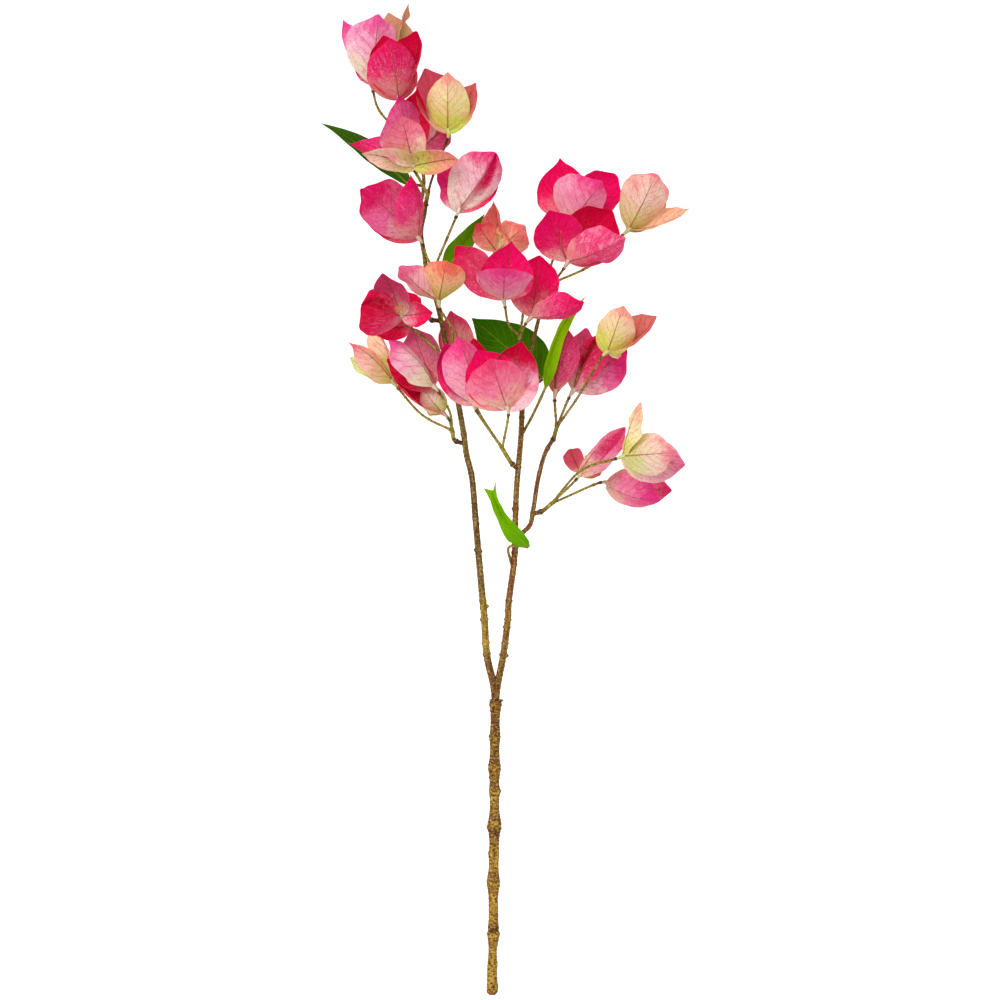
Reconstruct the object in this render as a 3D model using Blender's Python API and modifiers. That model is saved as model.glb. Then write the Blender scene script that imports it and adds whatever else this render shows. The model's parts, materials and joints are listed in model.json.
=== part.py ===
"""Artificial bougainvillea spray, lying flat.

One cut faux stem runs up +Y from its foot, forks into a left and a right bough, and carries plug-in sprigs
of papery blooms and a few leaves. +X is to the right of the spray and +Z is away from the surface it lies on.
Places below are millimetres from the foot of the stem. Headings are degrees clockwise from +Y.
"""

import math
from collections import namedtuple

import bmesh
import bpy
import numpy as np
from mathutils import Vector

MM = 0.001
NAME = "bougainvillea_spray"

# Driving sizes, in millimetres.
BRACT_LENGTH = 58.0
BRACT_WIDTH = 44.0
BRACT_THICKNESS = 0.9
CLAW_WIDTH = 4.4
LEAF_THICKNESS = 1.1
PEDICEL_RADIUS = 1.2
SLEEVE_RADIUS = 2.2
STUB_RADIUS = 1.8
CALYX_LENGTH = 8.0
CALYX_RADIUS = 2.7
CALYX_PAST_BASE = 2.5
CALYX_FULL_AT = 0.8
STUB_LENGTH = 12.0
STUB_PAST_BARK = 3.8
BEND_PAST_STUB = 2.0
SIDE_LEAN = 0.35
PLUG_LENGTH = 3.0
GAP = 0.3

# A blade's outline: the powers that round it off at its base and draw it out to its tip.
BRACT_OUTLINE = (0.55, 0.8)
LEAF_OUTLINE = (0.6, 0.95)

# How a blade bends when its hollow is 1: half the angle across it, and the angle along it, in degrees.
CUP_ACROSS = 80.0
CUP_ALONG = 70.0
SHARP_ANGLE = 40.0
WELD = 0.001

BLADE_ROWS = (0.0, 0.14, 0.42, 0.75, 1.0)
BLADE_COLUMNS = 3
STEM_SIDES = 8
TWIG_SIDES = 6
PEDICEL_SIDES = 4
STEM_STEP = 6.5
BOUGH_STEP = 13.0
PEDICEL_STEP = 11.0
CALYX_STEP = 3.5
CURVE_STEP = 1.0
END_STEP = 1.0

Bract = namedtuple("Bract", "heading lift turn hollow size breadth", defaults=(1.0, 1.0))
Bloom = namedtuple("Bloom", "name tint base bracts via", defaults=((),))
Sprig = namedtuple("Sprig", "name bough start joint blooms")
Bough = namedtuple("Bough", "name parent tint foot_radius tip_radius route")
Leaf = namedtuple("Leaf", "name bough start base heading lift turn hollow length width twist via",
                  defaults=((),))

# The stem. Each swelling is its distance up the stem, its extra radius and its half length.
STEM_ROUTE = [(-7, 0, 7), (-7, 28, 8), (-6, 56, 10), (-6, 102, 14), (-5, 153, 20), (-5, 204, 27),
              (-4, 266, 35)]
STEM_RADIUS = 4.3
STEM_SWELLINGS = [(2, 0.9, 14), (56, 1.2, 8), (102, 1.5, 9), (127, 0.5, 6), (153, 1.8, 9), (184, 0.6, 5),
                  (205, 1.3, 8), (233, 0.6, 6), (264, 1.0, 7)]
CROTCH_LENGTH = 36.0

BOUGHS = [
    Bough("left_bough", "main_stem", "bark", 3.4, 1.9,
          [(-4, 264, 35), (-6, 280, 37), (-12, 307, 41), (-14, 338, 44), (-18, 382, 49), (-22, 428, 53),
           (-25, 464, 56), (-30, 486, 58), (-33, 507, 60), (-38, 535, 62), (-49, 587, 65), (-56, 620, 67),
           (-66, 653, 69), (-68, 666, 70), (-71, 686, 72), (-68, 703, 74), (-67, 710, 75)]),
    Bough("right_bough", "main_stem", "bark", 3.2, 2.2,
          [(-4, 264, 35), (-2, 280, 37), (3, 306, 41), (7, 338, 44), (8, 355, 46), (13, 394, 50),
           (14, 435, 54),
           (15, 457, 56), (17, 481, 58), (19, 505, 60), (20, 531, 61), (21, 561, 63), (18, 585, 66)]),
    Bough("left_top_bough", "left_bough", "green_bark", 1.7, 1.5,
          [(-71, 695, 73), (-72, 708, 69), (-69, 724, 63), (-69, 738, 57), (-74, 752, 50), (-81, 762, 46)]),
    Bough("right_top_bough", "right_bough", "bark", 1.8, 1.6,
          [(21, 559, 63), (28, 580, 56), (35, 609, 52), (41, 627, 55), (44, 634, 58)]),
    Bough("side_bough", "right_bough", "bark", 2.2, 1.9,
          [(13, 398, 50), (19, 414, 51), (27, 423, 51), (30, 437, 51), (34, 463, 52), (40, 486, 54),
           (47, 499, 56)]),
]

SPRIGS = [
    Sprig("tip", "left_top_bough", None, (-86, 771, 43), [
        Bloom("tip_bloom_1", "rose", (-116, 820, 54), [
            Bract(6, 9, -5, -0.6, 1.1, 1.08), Bract(-22, -10, -62, 0.3, 1.12, 0.9),
            Bract(-30, -50, 0, 0.5, 0.7, 0.5)],
            ((-108, 795, 47),)),
        Bloom("tip_bloom_2", "hot", (-91, 808, 77), [
            Bract(-10, 22, 0, -0.5, 1.0, 1.05), Bract(17, -8, 40, 0.8, 1.05), Bract(-14, -8, 0, 0.4)],
            ((-90, 788, 50),)),
        Bloom("tip_bloom_3", "tan", (-91, 829, 36), [
            Bract(-10, -6, 20, -0.4, 0.97), Bract(7, 3, -70, 0.3, 1.1, 0.7), Bract(0, -45, 0, 0.5, 0.75)]),
    ]),
    Sprig("crown", "left_bough", None, (-65, 721, 78), [
        Bloom("crown_bloom_1", "cream", (-47, 778, 84), [
            Bract(0, 20, 0, -0.5, 0.95, 0.98), Bract(-21, -6, -20, 0.5, 1.03),
            Bract(29, -20, 45, 0.7, 0.95)],
            ((-60, 738, 76),)),
        Bloom("crown_bloom_2", "hot", (-80, 755, 66), [
            Bract(-11, 28, -30, -0.3, 1.13, 0.78), Bract(9, 0, 25, 0.6, 0.97, 0.8),
            Bract(-75, -4, 45, 0.4, 1.0, 0.75),
            Bract(50, -25, -10, 0.4, 0.8)]),
        Bloom("crown_bloom_3", "cream", (-78, 746, 94), [
            Bract(-18, 42, 0, 0.5, 1.03, 1.08), Bract(-79, 32, 25, 0.5, 0.95),
            Bract(83, 45, -20, 0.9, 0.95)]),
    ]),
    Sprig("shoulder", "left_bough", (-60, 632, 67), (-60, 652, 80), [
        Bloom("shoulder_bloom_1", "hot", (-74, 682, 86), [
            Bract(-47, 12, 0, -0.5, 1.12), Bract(-6, 22, -45, -0.5, 1.05, 0.85),
            Bract(-50, -8, 0, 0.4, 1.15, 0.9)],
            ((-67, 667, 82),)),
        Bloom("shoulder_bloom_2", "rose", (-37, 707, 94), [
            Bract(30, 16, -20, -0.6, 1.05, 1.18), Bract(45, -20, 15, 0.6, 0.97),
            Bract(-18, -20, 50, 0.5, 0.85, 0.8)]),
    ]),
    Sprig("fork", "left_bough", (-42, 553, 63), (-45, 571, 74), [
        Bloom("fork_bloom_1", "cream", (-55, 625, 92), [
            Bract(-52, 25, 50, 0.3, 0.95, 0.9), Bract(10, 48, 0, -0.8, 0.95, 1.1),
            Bract(22, -40, 0, 0.5, 0.42, 0.5)],
            ((-43, 597, 78),)),
        Bloom("fork_bloom_2", "crimson", (-89, 611, 92), [
            Bract(-24, 48, 25, 0.5, 1.03, 0.8), Bract(77, 60, 0, 0.6, 0.95, 0.8),
            Bract(-76, 54, 0, 0.5, 1.0, 0.85)]),
    ]),
    Sprig("spur", "left_bough", (-54, 607, 66), (-64, 612, 68), [
        Bloom("spur_bloom_1", "crimson", (-79, 608, 76), [
            Bract(-112, 0, 0, 0.5, 0.62, 1.0), Bract(-60, -14, 0, 0.5, 0.72),
            Bract(-15, -40, 0, 0.5, 0.6)]),
    ]),
    Sprig("low_left", "left_bough", (-32, 496, 59), (-43, 508, 61), [
        Bloom("low_left_bloom_1", "cream", (-97, 552, 47), [
            Bract(-19, 8, 60, 0.5, 1.03, 0.8), Bract(-46, 20, -45, -0.5, 0.95, 0.8),
            Bract(-58, -32, -30, 0.5, 0.9, 0.6)],
            ((-70, 522, 55),)),
        Bloom("low_left_bloom_2", "rose", (-60, 548, 80), [
            Bract(-43, 20, -50, -0.7, 1.03), Bract(-20, -20, 0, 0.4, 1.0, 0.68),
            Bract(-60, -12, 0, 0.5, 0.8, 0.8)],
            ((-45, 524, 74),)),
        Bloom("low_left_bloom_3", "dusty", (-52, 524, 70), [
            Bract(-56, -2, -60, 0.6, 0.93, 0.8), Bract(-38, 10, 10, -0.6, 0.5, 1.3),
            Bract(-45, -70, 0, 0.5, 0.5)]),
    ]),
    Sprig("centre", "right_bough", (16, 473, 58), (2, 492, 70), [
        Bloom("centre_bloom_1", "dusty", (-27, 559, 56), [
            Bract(-16, 5, 15, -0.4, 1.05, 0.95), Bract(-27, -20, 0, 0.5), Bract(-60, -55, 0, 0.5)],
            ((-20, 527, 64),)),
        Bloom("centre_bloom_2", "rose", (-23, 533, 84), [
            Bract(-14, 14, -25, -0.7, 1.07), Bract(-27, 0, -5, 0.5, 1.03),
            Bract(0, -18, 20, 0.6, 1.05, 0.8)]),
        Bloom("centre_bloom_3", "rose", (6, 529, 106), [
            Bract(-19, 38, 0, -0.4, 1.0, 1.35), Bract(12, -5, 0, 0.6, 1.05, 1.1),
            Bract(-28, -6, 0, 0.3, 1.0, 1.15)]),
    ]),
    Sprig("middle", "right_bough", None, (18, 593, 69), [
        Bloom("middle_bloom_1", "cream", (21, 624, 78), [
            Bract(15, -30, 0, 0.4, 0.8), Bract(-20, -40, 0, 0.4, 0.7)]),
        Bloom("middle_bloom_2", "hot", (3, 626, 102), [
            Bract(3, 62, 0, -0.4, 1.05, 1.2), Bract(2, 20, 0, 0.5, 0.95, 1.22),
            Bract(-42, 0, -25, -0.4, 1.1, 0.88)],
            ((8, 603, 84),)),
        Bloom("middle_bloom_3", "hot", (28, 610, 88), [
            Bract(8, -6, 8, 0.6, 0.97, 1.2), Bract(71, 26, -45, -0.6)]),
    ]),
    Sprig("right_top", "right_top_bough", None, (48, 641, 62), [
        Bloom("right_top_bloom_1", "coral", (-3, 669, 50), [
            Bract(-30, 35, 0, -0.3, 0.6, 0.8), Bract(-3, 25, 45, 0.3, 0.85), Bract(48, 40, 0, -0.4, 0.75)],
            ((27, 648, 50),)),
        Bloom("right_top_bloom_2", "hot", (64, 697, 56), [
            Bract(-10, -10, 10, 0.5, 1.03, 1.25), Bract(38, 34, -20, -0.5, 1.0, 1.35),
            Bract(46, -15, 0, 0.5)],
            ((46, 657, 60),)),
        Bloom("right_top_bloom_3", "hot", (61, 660, 92), [
            Bract(-19, 20, 0, 0.4, 0.86, 1.2), Bract(38, -8, 0, 0.6, 1.05, 1.3),
            Bract(54, 44, -30, -0.5, 1.03, 1.1)]),
        Bloom("right_top_bloom_4", "cream", (116, 689, 50), [
            Bract(27, 20, -10, -0.5, 1.0, 1.08), Bract(72, 0, 60, 0.5, 1.0, 0.9),
            Bract(42, -35, 0, 0.5, 1.0, 0.75)],
            ((84, 658, 56),)),
    ]),
    Sprig("right", "side_bough", None, (51, 511, 60), [
        Bloom("right_bloom_1", "crimson", (50, 543, 60), [
            Bract(12, 2, 45, 0.6, 0.98, 0.82), Bract(2, -12, 0, 0.4, 0.8, 0.55)]),
        Bloom("right_bloom_2", "crimson", (66, 544, 46), [
            Bract(26, 4, 40, 0.6), Bract(6, -15, 0, 0.4), Bract(54, -14, 0, 0.3, 1.1, 0.92)]),
        Bloom("right_bloom_3", "cream", (97, 579, 84), [
            Bract(20, 30, 0, -0.5, 0.85, 1.0), Bract(54, 5, 45, 0.7, 0.92), Bract(75, -60, 0, 0.4, 0.55)],
            ((70, 538, 70),)),
    ]),
    Sprig("low_right", "side_bough", (30, 433, 51), (46, 442, 50), [
        Bloom("low_right_bloom_1", "rose", (72, 470, 50), [
            Bract(46, 6, 50, -0.6, 1.0, 0.85), Bract(-30, -45, 0, 0.5, 0.75, 0.65),
            Bract(60, -40, -30, 0.5, 0.75, 0.7)]),
        Bloom("low_right_bloom_2", "cream", (111, 485, 80), [
            Bract(20, 25, 55, -0.3, 0.95, 0.9), Bract(85, 35, 0, -0.5, 0.95), Bract(101, -4, 0, 0.3)],
            ((73, 472, 78),)),
        Bloom("low_right_bloom_3", "rose", (97, 459, 30), [
            Bract(108, 15, -50, -0.6, 0.88), Bract(112, -28, 0, 0.5, 0.66, 0.7),
            Bract(95, -6, 0, 0.4, 1.0, 0.85)]),
    ]),
]

LEAVES = [
    Leaf("dark_leaf", "left_top_bough", (-69, 728, 61), (-84, 731, 40), -55, 0, 35, 0.5, 95, 27, 0),
    Leaf("shoulder_leaf", "left_bough", (-64, 648, 69), (-52, 650, 54), 35, -15, 20, 0.3, 64, 25, 0),
    Leaf("broad_leaf", "right_bough", (21, 540, 62), (38, 556, 36), -50, -2, 0, 0.25, 83, 54, 0),
    Leaf("narrow_leaf", "right_bough", (19, 503, 60), (42, 549, 76), 23, 3, -45, 0.5, 90, 21, 0,
         ((30, 523, 69),)),
    Leaf("curled_leaf", "right_bough", (11, 386, 49), (21, 403, 65), -31, 5, 15, 0.4, 62, 24, 60,
         ((8, 396, 60),)),
]

TINTS = {
    "bark": (0.19, 0.10, 0.035), "green_bark": (0.12, 0.13, 0.03), "stem": (0.33, 0.19, 0.045),
    "sleeve": (0.10, 0.09, 0.03), "leaf": (0.06, 0.16, 0.015), "rose": (0.80, 0.22, 0.38),
    "hot": (0.74, 0.03, 0.16), "crimson": (0.50, 0.01, 0.06), "cream": (0.75, 0.52, 0.30),
    "coral": (0.78, 0.27, 0.17), "dusty": (0.55, 0.14, 0.18), "tan": (0.48, 0.26, 0.17),
}
BARK_ROUGHNESS = 0.75
FABRIC_ROUGHNESS = 0.9


class Path:
    """A smooth line through a few points, in millimetres, measured by the length along it."""

    def __init__(self, points):
        given = np.array(points, float)
        ends = np.vstack([2 * given[0] - given[1], given, 2 * given[-1] - given[-2]])
        dense = []
        for before, here, there, after in zip(ends, ends[1:], ends[2:], ends[3:]):
            count = max(2, math.ceil(np.linalg.norm(there - here) / CURVE_STEP))
            t = np.arange(count)[:, None] / count
            cubic = 3 * (here - there) + after - before
            square = 2 * before - 5 * here + 4 * there - after
            dense.append(here + 0.5 * t * (there - before + t * (square + t * cubic)))
        self.points = np.vstack([*dense, given[-1]])
        steps = np.linalg.norm(np.diff(self.points, axis=0), axis=1)
        self.lengths = np.concatenate([[0.0], np.cumsum(steps)])
        self.length = self.lengths[-1]

    def at(self, lengths):
        return np.stack([np.interp(lengths, self.lengths, axis) for axis in self.points.T], axis=-1)

    def nearest(self, point):
        """The length along the line at which it passes closest to a point."""
        return self.lengths[np.argmin(np.linalg.norm(self.points - np.array(point), axis=1))]


def material(name, tint, roughness):
    made = bpy.data.materials.new(name)
    made.use_nodes = True
    shader = made.node_tree.nodes["Principled BSDF"]
    shader.inputs["Base Color"].default_value = (*TINTS[tint], 1)
    shader.inputs["Roughness"].default_value = roughness
    return made


def mesh_object(name, mesh, collection):
    made = bpy.data.objects.new(name, mesh)
    collection.objects.link(made)
    return made


def tube(path, stations, radius, sides):
    """A closed tube along a path, as a mesh, from its lengths and a radius worked out from each length."""
    curve = bpy.data.curves.new("tube", "CURVE")
    curve.dimensions = "3D"
    curve.bevel_depth = MM
    curve.bevel_resolution = (sides - 4) // 2
    curve.use_fill_caps = True
    spline = curve.splines.new("POLY")
    spline.points.add(len(stations) - 1)
    for point, length, place in zip(spline.points, stations, path.at(stations)):
        point.co = (*(place * MM), 1)
        point.radius = radius(length)
    guide = mesh_object("tube", curve, workshop)
    mesh = bpy.data.meshes.new_from_object(guide.evaluated_get(bpy.context.evaluated_depsgraph_get()))
    bpy.data.objects.remove(guide)
    bpy.data.curves.remove(curve)
    shell = bmesh.new()
    shell.from_mesh(mesh)
    bmesh.ops.remove_doubles(shell, verts=shell.verts, dist=WELD * MM)
    bmesh.ops.recalc_face_normals(shell, faces=shell.faces)
    shell.to_mesh(mesh)
    shell.free()
    return mesh_object("tube", mesh, workshop)


def stub_stations(cut, step):
    """From inside a parent to the cut, with a short last step so that the cut is square to the line."""
    return np.append(stations(0, cut - END_STEP, step), cut)


def free_stations(cut, end, step):
    """From just beyond the cut, with a short first step for the same reason."""
    return np.append(cut + GAP, stations(cut + GAP + END_STEP, end, step))


def stations(start, end, step):
    return np.linspace(start, end, max(2, round((end - start) / step) + 1))


def directions(heading, lift, turn):
    """A blade's own axes: along its midrib, to its right, and out of its upper face."""
    bearing, rise, roll = (math.radians(angle) for angle in (heading, lift, turn))
    ahead = np.array([math.sin(bearing), math.cos(bearing), 0.0])
    along = math.cos(rise) * ahead + np.array([0.0, 0.0, math.sin(rise)])
    level = np.array([math.cos(bearing), -math.sin(bearing), 0.0])
    up = np.cross(level, along)
    return along, math.cos(roll) * level + math.sin(roll) * up, math.cos(roll) * up - math.sin(roll) * level


def fullness(u, outline):
    """The width of a blade at a share of its length, as a share of its greatest width."""
    foot, tip = outline
    widest = foot / (foot + tip)
    return (u / widest) ** foot * ((1 - u) / (1 - widest)) ** tip


def blade(base, axes, length, width, hollow, outline, thickness, claw, twist=0.0):
    """A thin solid blade that bends like a spoon: upward where its hollow is positive, else downward."""
    along, right, out = axes
    shell = bmesh.new()
    rows = len(BLADE_ROWS) - 1
    bmesh.ops.create_grid(shell, x_segments=BLADE_COLUMNS, y_segments=rows, size=1.0)
    arc = math.radians(CUP_ALONG) * hollow
    cup = math.radians(CUP_ACROSS) * hollow
    for vert in shell.verts:
        u = BLADE_ROWS[round((vert.co.y + 1) / 2 * rows)]
        half = max(width / 2 * fullness(u, outline), claw / 2 * (1 - u))
        across = half * math.sin(cup * vert.co.x) / cup
        raised = half * (1 - math.cos(cup * vert.co.x)) / cup
        # The midrib is an arc whose chord runs from the base to the tip.
        bend = arc * (u - 0.5)
        reach = length * (math.sin(bend) + math.sin(arc / 2)) / (2 * math.sin(arc / 2))
        sag = length * (math.cos(arc / 2) - math.cos(bend)) / (2 * math.sin(arc / 2))
        roll = math.radians(twist) * (u - 0.5)
        side = math.cos(roll) * right + math.sin(roll) * out
        face = math.cos(roll) * out - math.sin(roll) * right
        vert.co = Vector((base + along * reach + out * sag + side * across + face * raised) * MM)
    bmesh.ops.remove_doubles(shell, verts=shell.verts, dist=WELD * MM)
    mesh = bpy.data.meshes.new("blade")
    shell.to_mesh(mesh)
    shell.free()
    made = mesh_object("blade", mesh, workshop)
    solid = made.modifiers.new("thickness", "SOLIDIFY")
    solid.thickness = thickness * MM
    solid.offset = 0.0
    return made


def keep_outer_shell(mesh):
    """Fills the hollows that a union seals and drops its scraps: only the biggest closed shell stays."""
    body = bmesh.new()
    body.from_mesh(mesh)
    loose = set(body.faces)
    shells = []
    while loose:
        shell = [loose.pop()]
        for face in shell:
            near = {other for edge in face.edges for other in edge.link_faces} & loose
            loose -= near
            shell.extend(near)
        shells.append(shell)
    shells.sort(key=lambda shell: sum(face.calc_area() for face in shell))
    scraps = [face for shell in shells[:-1] for face in shell]
    bmesh.ops.delete(body, geom=scraps, context="FACES")
    body.to_mesh(mesh)
    body.free()


def fuse(name, pieces, tint, roughness):
    """One Boolean union of all the pieces, applied, as a node of the spray."""
    host = mesh_object(name, bpy.data.meshes.new(name), spray)
    joined = bpy.data.collections.new("joined")
    for piece in pieces:
        joined.objects.link(piece)
    host.data = first_mesh(pieces[0])
    joined.objects.unlink(pieces[0])
    if len(pieces) > 1:
        union = host.modifiers.new("union", "BOOLEAN")
        union.operation = "UNION"
        union.operand_type = "COLLECTION"
        union.collection = joined
        union.solver = "EXACT"
        bpy.context.view_layer.update()
        solid = bpy.data.meshes.new_from_object(host.evaluated_get(bpy.context.evaluated_depsgraph_get()))
        host.modifiers.clear()
        keep_outer_shell(solid)
        host.data = solid
    for piece in pieces:
        bpy.data.objects.remove(piece)
    bpy.data.collections.remove(joined)
    host.data.name = name
    host.data.materials.clear()
    host.data.materials.append(material(name, tint, roughness))
    host.data.shade_smooth()
    host.data.set_sharp_from_angle(angle=math.radians(SHARP_ANGLE))
    return host


def first_mesh(piece):
    bpy.context.view_layer.update()
    return bpy.data.meshes.new_from_object(piece.evaluated_get(bpy.context.evaluated_depsgraph_get()))


def stem_radius(length):
    swell = sum(extra * math.exp(-((length - place) / half) ** 2) for place, extra, half in STEM_SWELLINGS)
    return STEM_RADIUS + swell


def bough_radius(bough, path):
    return lambda length: bough.foot_radius + (bough.tip_radius - bough.foot_radius) * length / path.length


def bloom_axis(bloom):
    total = sum(directions(bract.heading, bract.lift, bract.turn)[0] for bract in bloom.bracts)
    return total / np.linalg.norm(total)


def pedicel_path(joint, bloom):
    """From the sprig's joint to just inside the bracts, arriving along the bloom's own axis."""
    base = np.array(bloom.base, float)
    axis = bloom_axis(bloom)
    return Path([joint, *bloom.via, base - axis * CALYX_LENGTH, base + axis * CALYX_PAST_BASE])


def pedicel_radius(path):
    """Slim, then widening through the calyx at its far end."""
    flare = CALYX_LENGTH + CALYX_PAST_BASE

    def radius(length):
        into = max(0.0, length - (path.length - flare)) / flare
        share = math.sin(min(1.0, into / CALYX_FULL_AT) * math.pi / 2) ** 2
        return PEDICEL_RADIUS + (CALYX_RADIUS - PEDICEL_RADIUS) * share

    return radius


def build_bloom(joint, bloom):
    path = pedicel_path(joint, bloom)
    slim_end = path.length - CALYX_LENGTH - CALYX_PAST_BASE
    slim = free_stations(STUB_LENGTH, slim_end, PEDICEL_STEP)
    flared = stations(slim_end, path.length, CALYX_STEP)[1:]
    pieces = [tube(path, np.concatenate([slim, flared]), pedicel_radius(path), PEDICEL_SIDES)]
    base = np.array(bloom.base, float)
    for bract in bloom.bracts:
        axes = directions(bract.heading, bract.lift, bract.turn)
        length = BRACT_LENGTH * bract.size
        width = BRACT_WIDTH * bract.size * bract.breadth
        pieces.append(blade(base, axes, length, width, bract.hollow, BRACT_OUTLINE, BRACT_THICKNESS,
                            CLAW_WIDTH))
    fuse(bloom.name, pieces, bloom.tint, FABRIC_ROUGHNESS)


def build_sprig(sprig, path, cut):
    sleeve = free_stations(cut, path.length, PEDICEL_STEP)
    pieces = [tube(path, sleeve, lambda length: SLEEVE_RADIUS, TWIG_SIDES)]
    for bloom in sprig.blooms:
        pedicel = pedicel_path(sprig.joint, bloom)
        stub = stub_stations(STUB_LENGTH, PEDICEL_STEP)
        pieces.append(tube(pedicel, stub, lambda length: PEDICEL_RADIUS, PEDICEL_SIDES))
    fuse(f"{sprig.name}_sprig", pieces, "sleeve", BARK_ROUGHNESS)
    for bloom in sprig.blooms:
        build_bloom(sprig.joint, bloom)


def build_leaf(leaf, path, cut):
    free = free_stations(cut, path.length, PEDICEL_STEP)
    stalk = tube(path, free, lambda length: PEDICEL_RADIUS, PEDICEL_SIDES)
    axes = directions(leaf.heading, leaf.lift, leaf.turn)
    base = np.array(leaf.base, float)
    face = blade(base, axes, leaf.length, leaf.width, leaf.hollow, LEAF_OUTLINE, LEAF_THICKNESS,
                 2 * PEDICEL_RADIUS, leaf.twist)
    fuse(leaf.name, [stalk, face], "leaf", FABRIC_ROUGHNESS)


def build():
    routes = {"main_stem": Path(STEM_ROUTE)}
    stems = {"main_stem": ([tube(routes["main_stem"], stations(0, routes["main_stem"].length, STEM_STEP),
                                 stem_radius, STEM_SIDES)], "stem")}
    radii = {"main_stem": stem_radius}

    def branch(parent, path, radius, sides, extra):
        """Fuses the first stretch of a branch to what carries it, and says how far that stretch runs."""
        foot = radii[parent](routes[parent].nearest(path.points[0]))
        cut = foot + extra
        stems[parent][0].append(tube(path, stub_stations(cut, PEDICEL_STEP), radius, sides))
        return cut

    def side_path(sprig):
        """A side twig leaves its bough square to the bark, then turns toward its joint."""
        line = routes[sprig.bough]
        start = np.array(sprig.start, float)
        place = line.nearest(start)
        axis = line.at(place + CURVE_STEP) - line.at(place - CURVE_STEP)
        axis /= np.linalg.norm(axis)
        lead = np.array(sprig.joint) - start
        forward = axis * (lead @ axis)
        square = (lead - forward) / np.linalg.norm(lead - forward)
        clear = radii[sprig.bough](place) + STUB_PAST_BARK + BEND_PAST_STUB
        return Path([start, start + square * clear + forward * SIDE_LEAN, sprig.joint])

    def tip_path(sprig):
        """A twig on the end of a bough carries straight on from it."""
        line = routes[sprig.bough].points
        onward = (line[-1] - line[-2]) / np.linalg.norm(line[-1] - line[-2])
        return Path([line[-1], line[-1] + onward * PLUG_LENGTH, sprig.joint])

    for bough in BOUGHS:
        path = Path(bough.route)
        radius = bough_radius(bough, path)
        routes[bough.name] = path
        radii[bough.name] = radius
        extra = CROTCH_LENGTH if bough.parent == "main_stem" else STUB_LENGTH
        cut = branch(bough.parent, path, radius, TWIG_SIDES, extra)
        body = tube(path, free_stations(cut, path.length, BOUGH_STEP), radius, TWIG_SIDES)
        stems[bough.name] = ([body], bough.tint)
    for sprig in SPRIGS:
        if sprig.start:
            path = side_path(sprig)
            cut = branch(sprig.bough, path, lambda length: STUB_RADIUS, TWIG_SIDES, STUB_PAST_BARK)
        else:
            path = tip_path(sprig)
            cut = 0.0
        build_sprig(sprig, path, cut)
    for leaf in LEAVES:
        path = Path([leaf.start, *leaf.via, leaf.base])
        cut = branch(leaf.bough, path, lambda length: PEDICEL_RADIUS, TWIG_SIDES, STUB_PAST_BARK)
        build_leaf(leaf, path, cut)
    for name, (pieces, tint) in stems.items():
        fuse(name, pieces, tint, BARK_ROUGHNESS)


def settle():
    """Moves the whole spray so that it lies on Z = 0, with the middle of its footprint at the origin."""
    corners = np.array([vertex.co for node in spray.objects for vertex in node.data.vertices])
    low, high = corners.min(axis=0), corners.max(axis=0)
    shift = Vector((-(low[0] + high[0]) / 2, -(low[1] + high[1]) / 2, -low[2]))
    for node in spray.objects:
        node.location = shift


for old in list(bpy.data.objects):
    bpy.data.objects.remove(old)
spray = bpy.data.collections.new(NAME)
bpy.context.scene.collection.children.link(spray)
workshop = bpy.data.collections.new("workshop")
bpy.context.scene.collection.children.link(workshop)
build()
bpy.data.collections.remove(workshop)
settle()
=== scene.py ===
# %% [markdown]
# # A bougainvillea spray, dressed
#
# The object is an artificial bougainvillea stem, about 0.9 m long, lying on a pale surface. Its solids come
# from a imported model. This lesson builds what the eye sees round those solids: bark with a relief, thin
# papery bracts, cast twigs and printed leaves. Everything is in millimetres until the last moment, because
# a twig is easier to think of as 2 mm than as 0.002 m.

# %% Open the frame
import json
import math
from collections import namedtuple

import bpy
import numpy as np
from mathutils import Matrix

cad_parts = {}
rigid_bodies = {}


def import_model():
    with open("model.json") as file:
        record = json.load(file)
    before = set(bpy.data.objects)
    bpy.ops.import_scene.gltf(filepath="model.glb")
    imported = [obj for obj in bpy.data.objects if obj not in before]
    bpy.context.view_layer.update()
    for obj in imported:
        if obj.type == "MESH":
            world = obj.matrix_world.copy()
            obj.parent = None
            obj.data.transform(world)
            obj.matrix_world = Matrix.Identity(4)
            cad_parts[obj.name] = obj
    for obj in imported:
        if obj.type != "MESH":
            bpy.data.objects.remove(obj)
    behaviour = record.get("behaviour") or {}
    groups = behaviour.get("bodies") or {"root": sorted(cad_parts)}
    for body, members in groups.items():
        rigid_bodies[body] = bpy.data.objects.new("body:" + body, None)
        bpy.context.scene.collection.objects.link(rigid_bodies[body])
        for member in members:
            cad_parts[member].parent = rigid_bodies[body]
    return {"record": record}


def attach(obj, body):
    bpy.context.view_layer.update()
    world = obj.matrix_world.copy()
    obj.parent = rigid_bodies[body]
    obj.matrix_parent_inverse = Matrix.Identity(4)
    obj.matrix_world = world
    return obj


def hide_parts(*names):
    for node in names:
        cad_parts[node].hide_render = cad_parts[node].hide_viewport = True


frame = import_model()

MM = 0.001
RNG = np.random.default_rng(31)
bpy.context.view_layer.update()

# %% [markdown]
# ## Where the drawing lies in the frame
#
# The rows below give places from the foot of the stem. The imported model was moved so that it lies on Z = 0
# with its middle at the origin, and its record says where the cut end is. The difference of the two is all
# that is needed to bring the drawing into the frame.

# %% The drawing's own origin
FOOT = np.array([-7.0, 0.0, 7.0])
cut_end = next(mount for mount in frame["record"]["mounts"] if mount["name"] == "cut_end")
SHIFT = np.array(cut_end["pos_m"]) - FOOT * MM
print("the drawing is moved by", SHIFT.round(4), "m")

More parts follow.
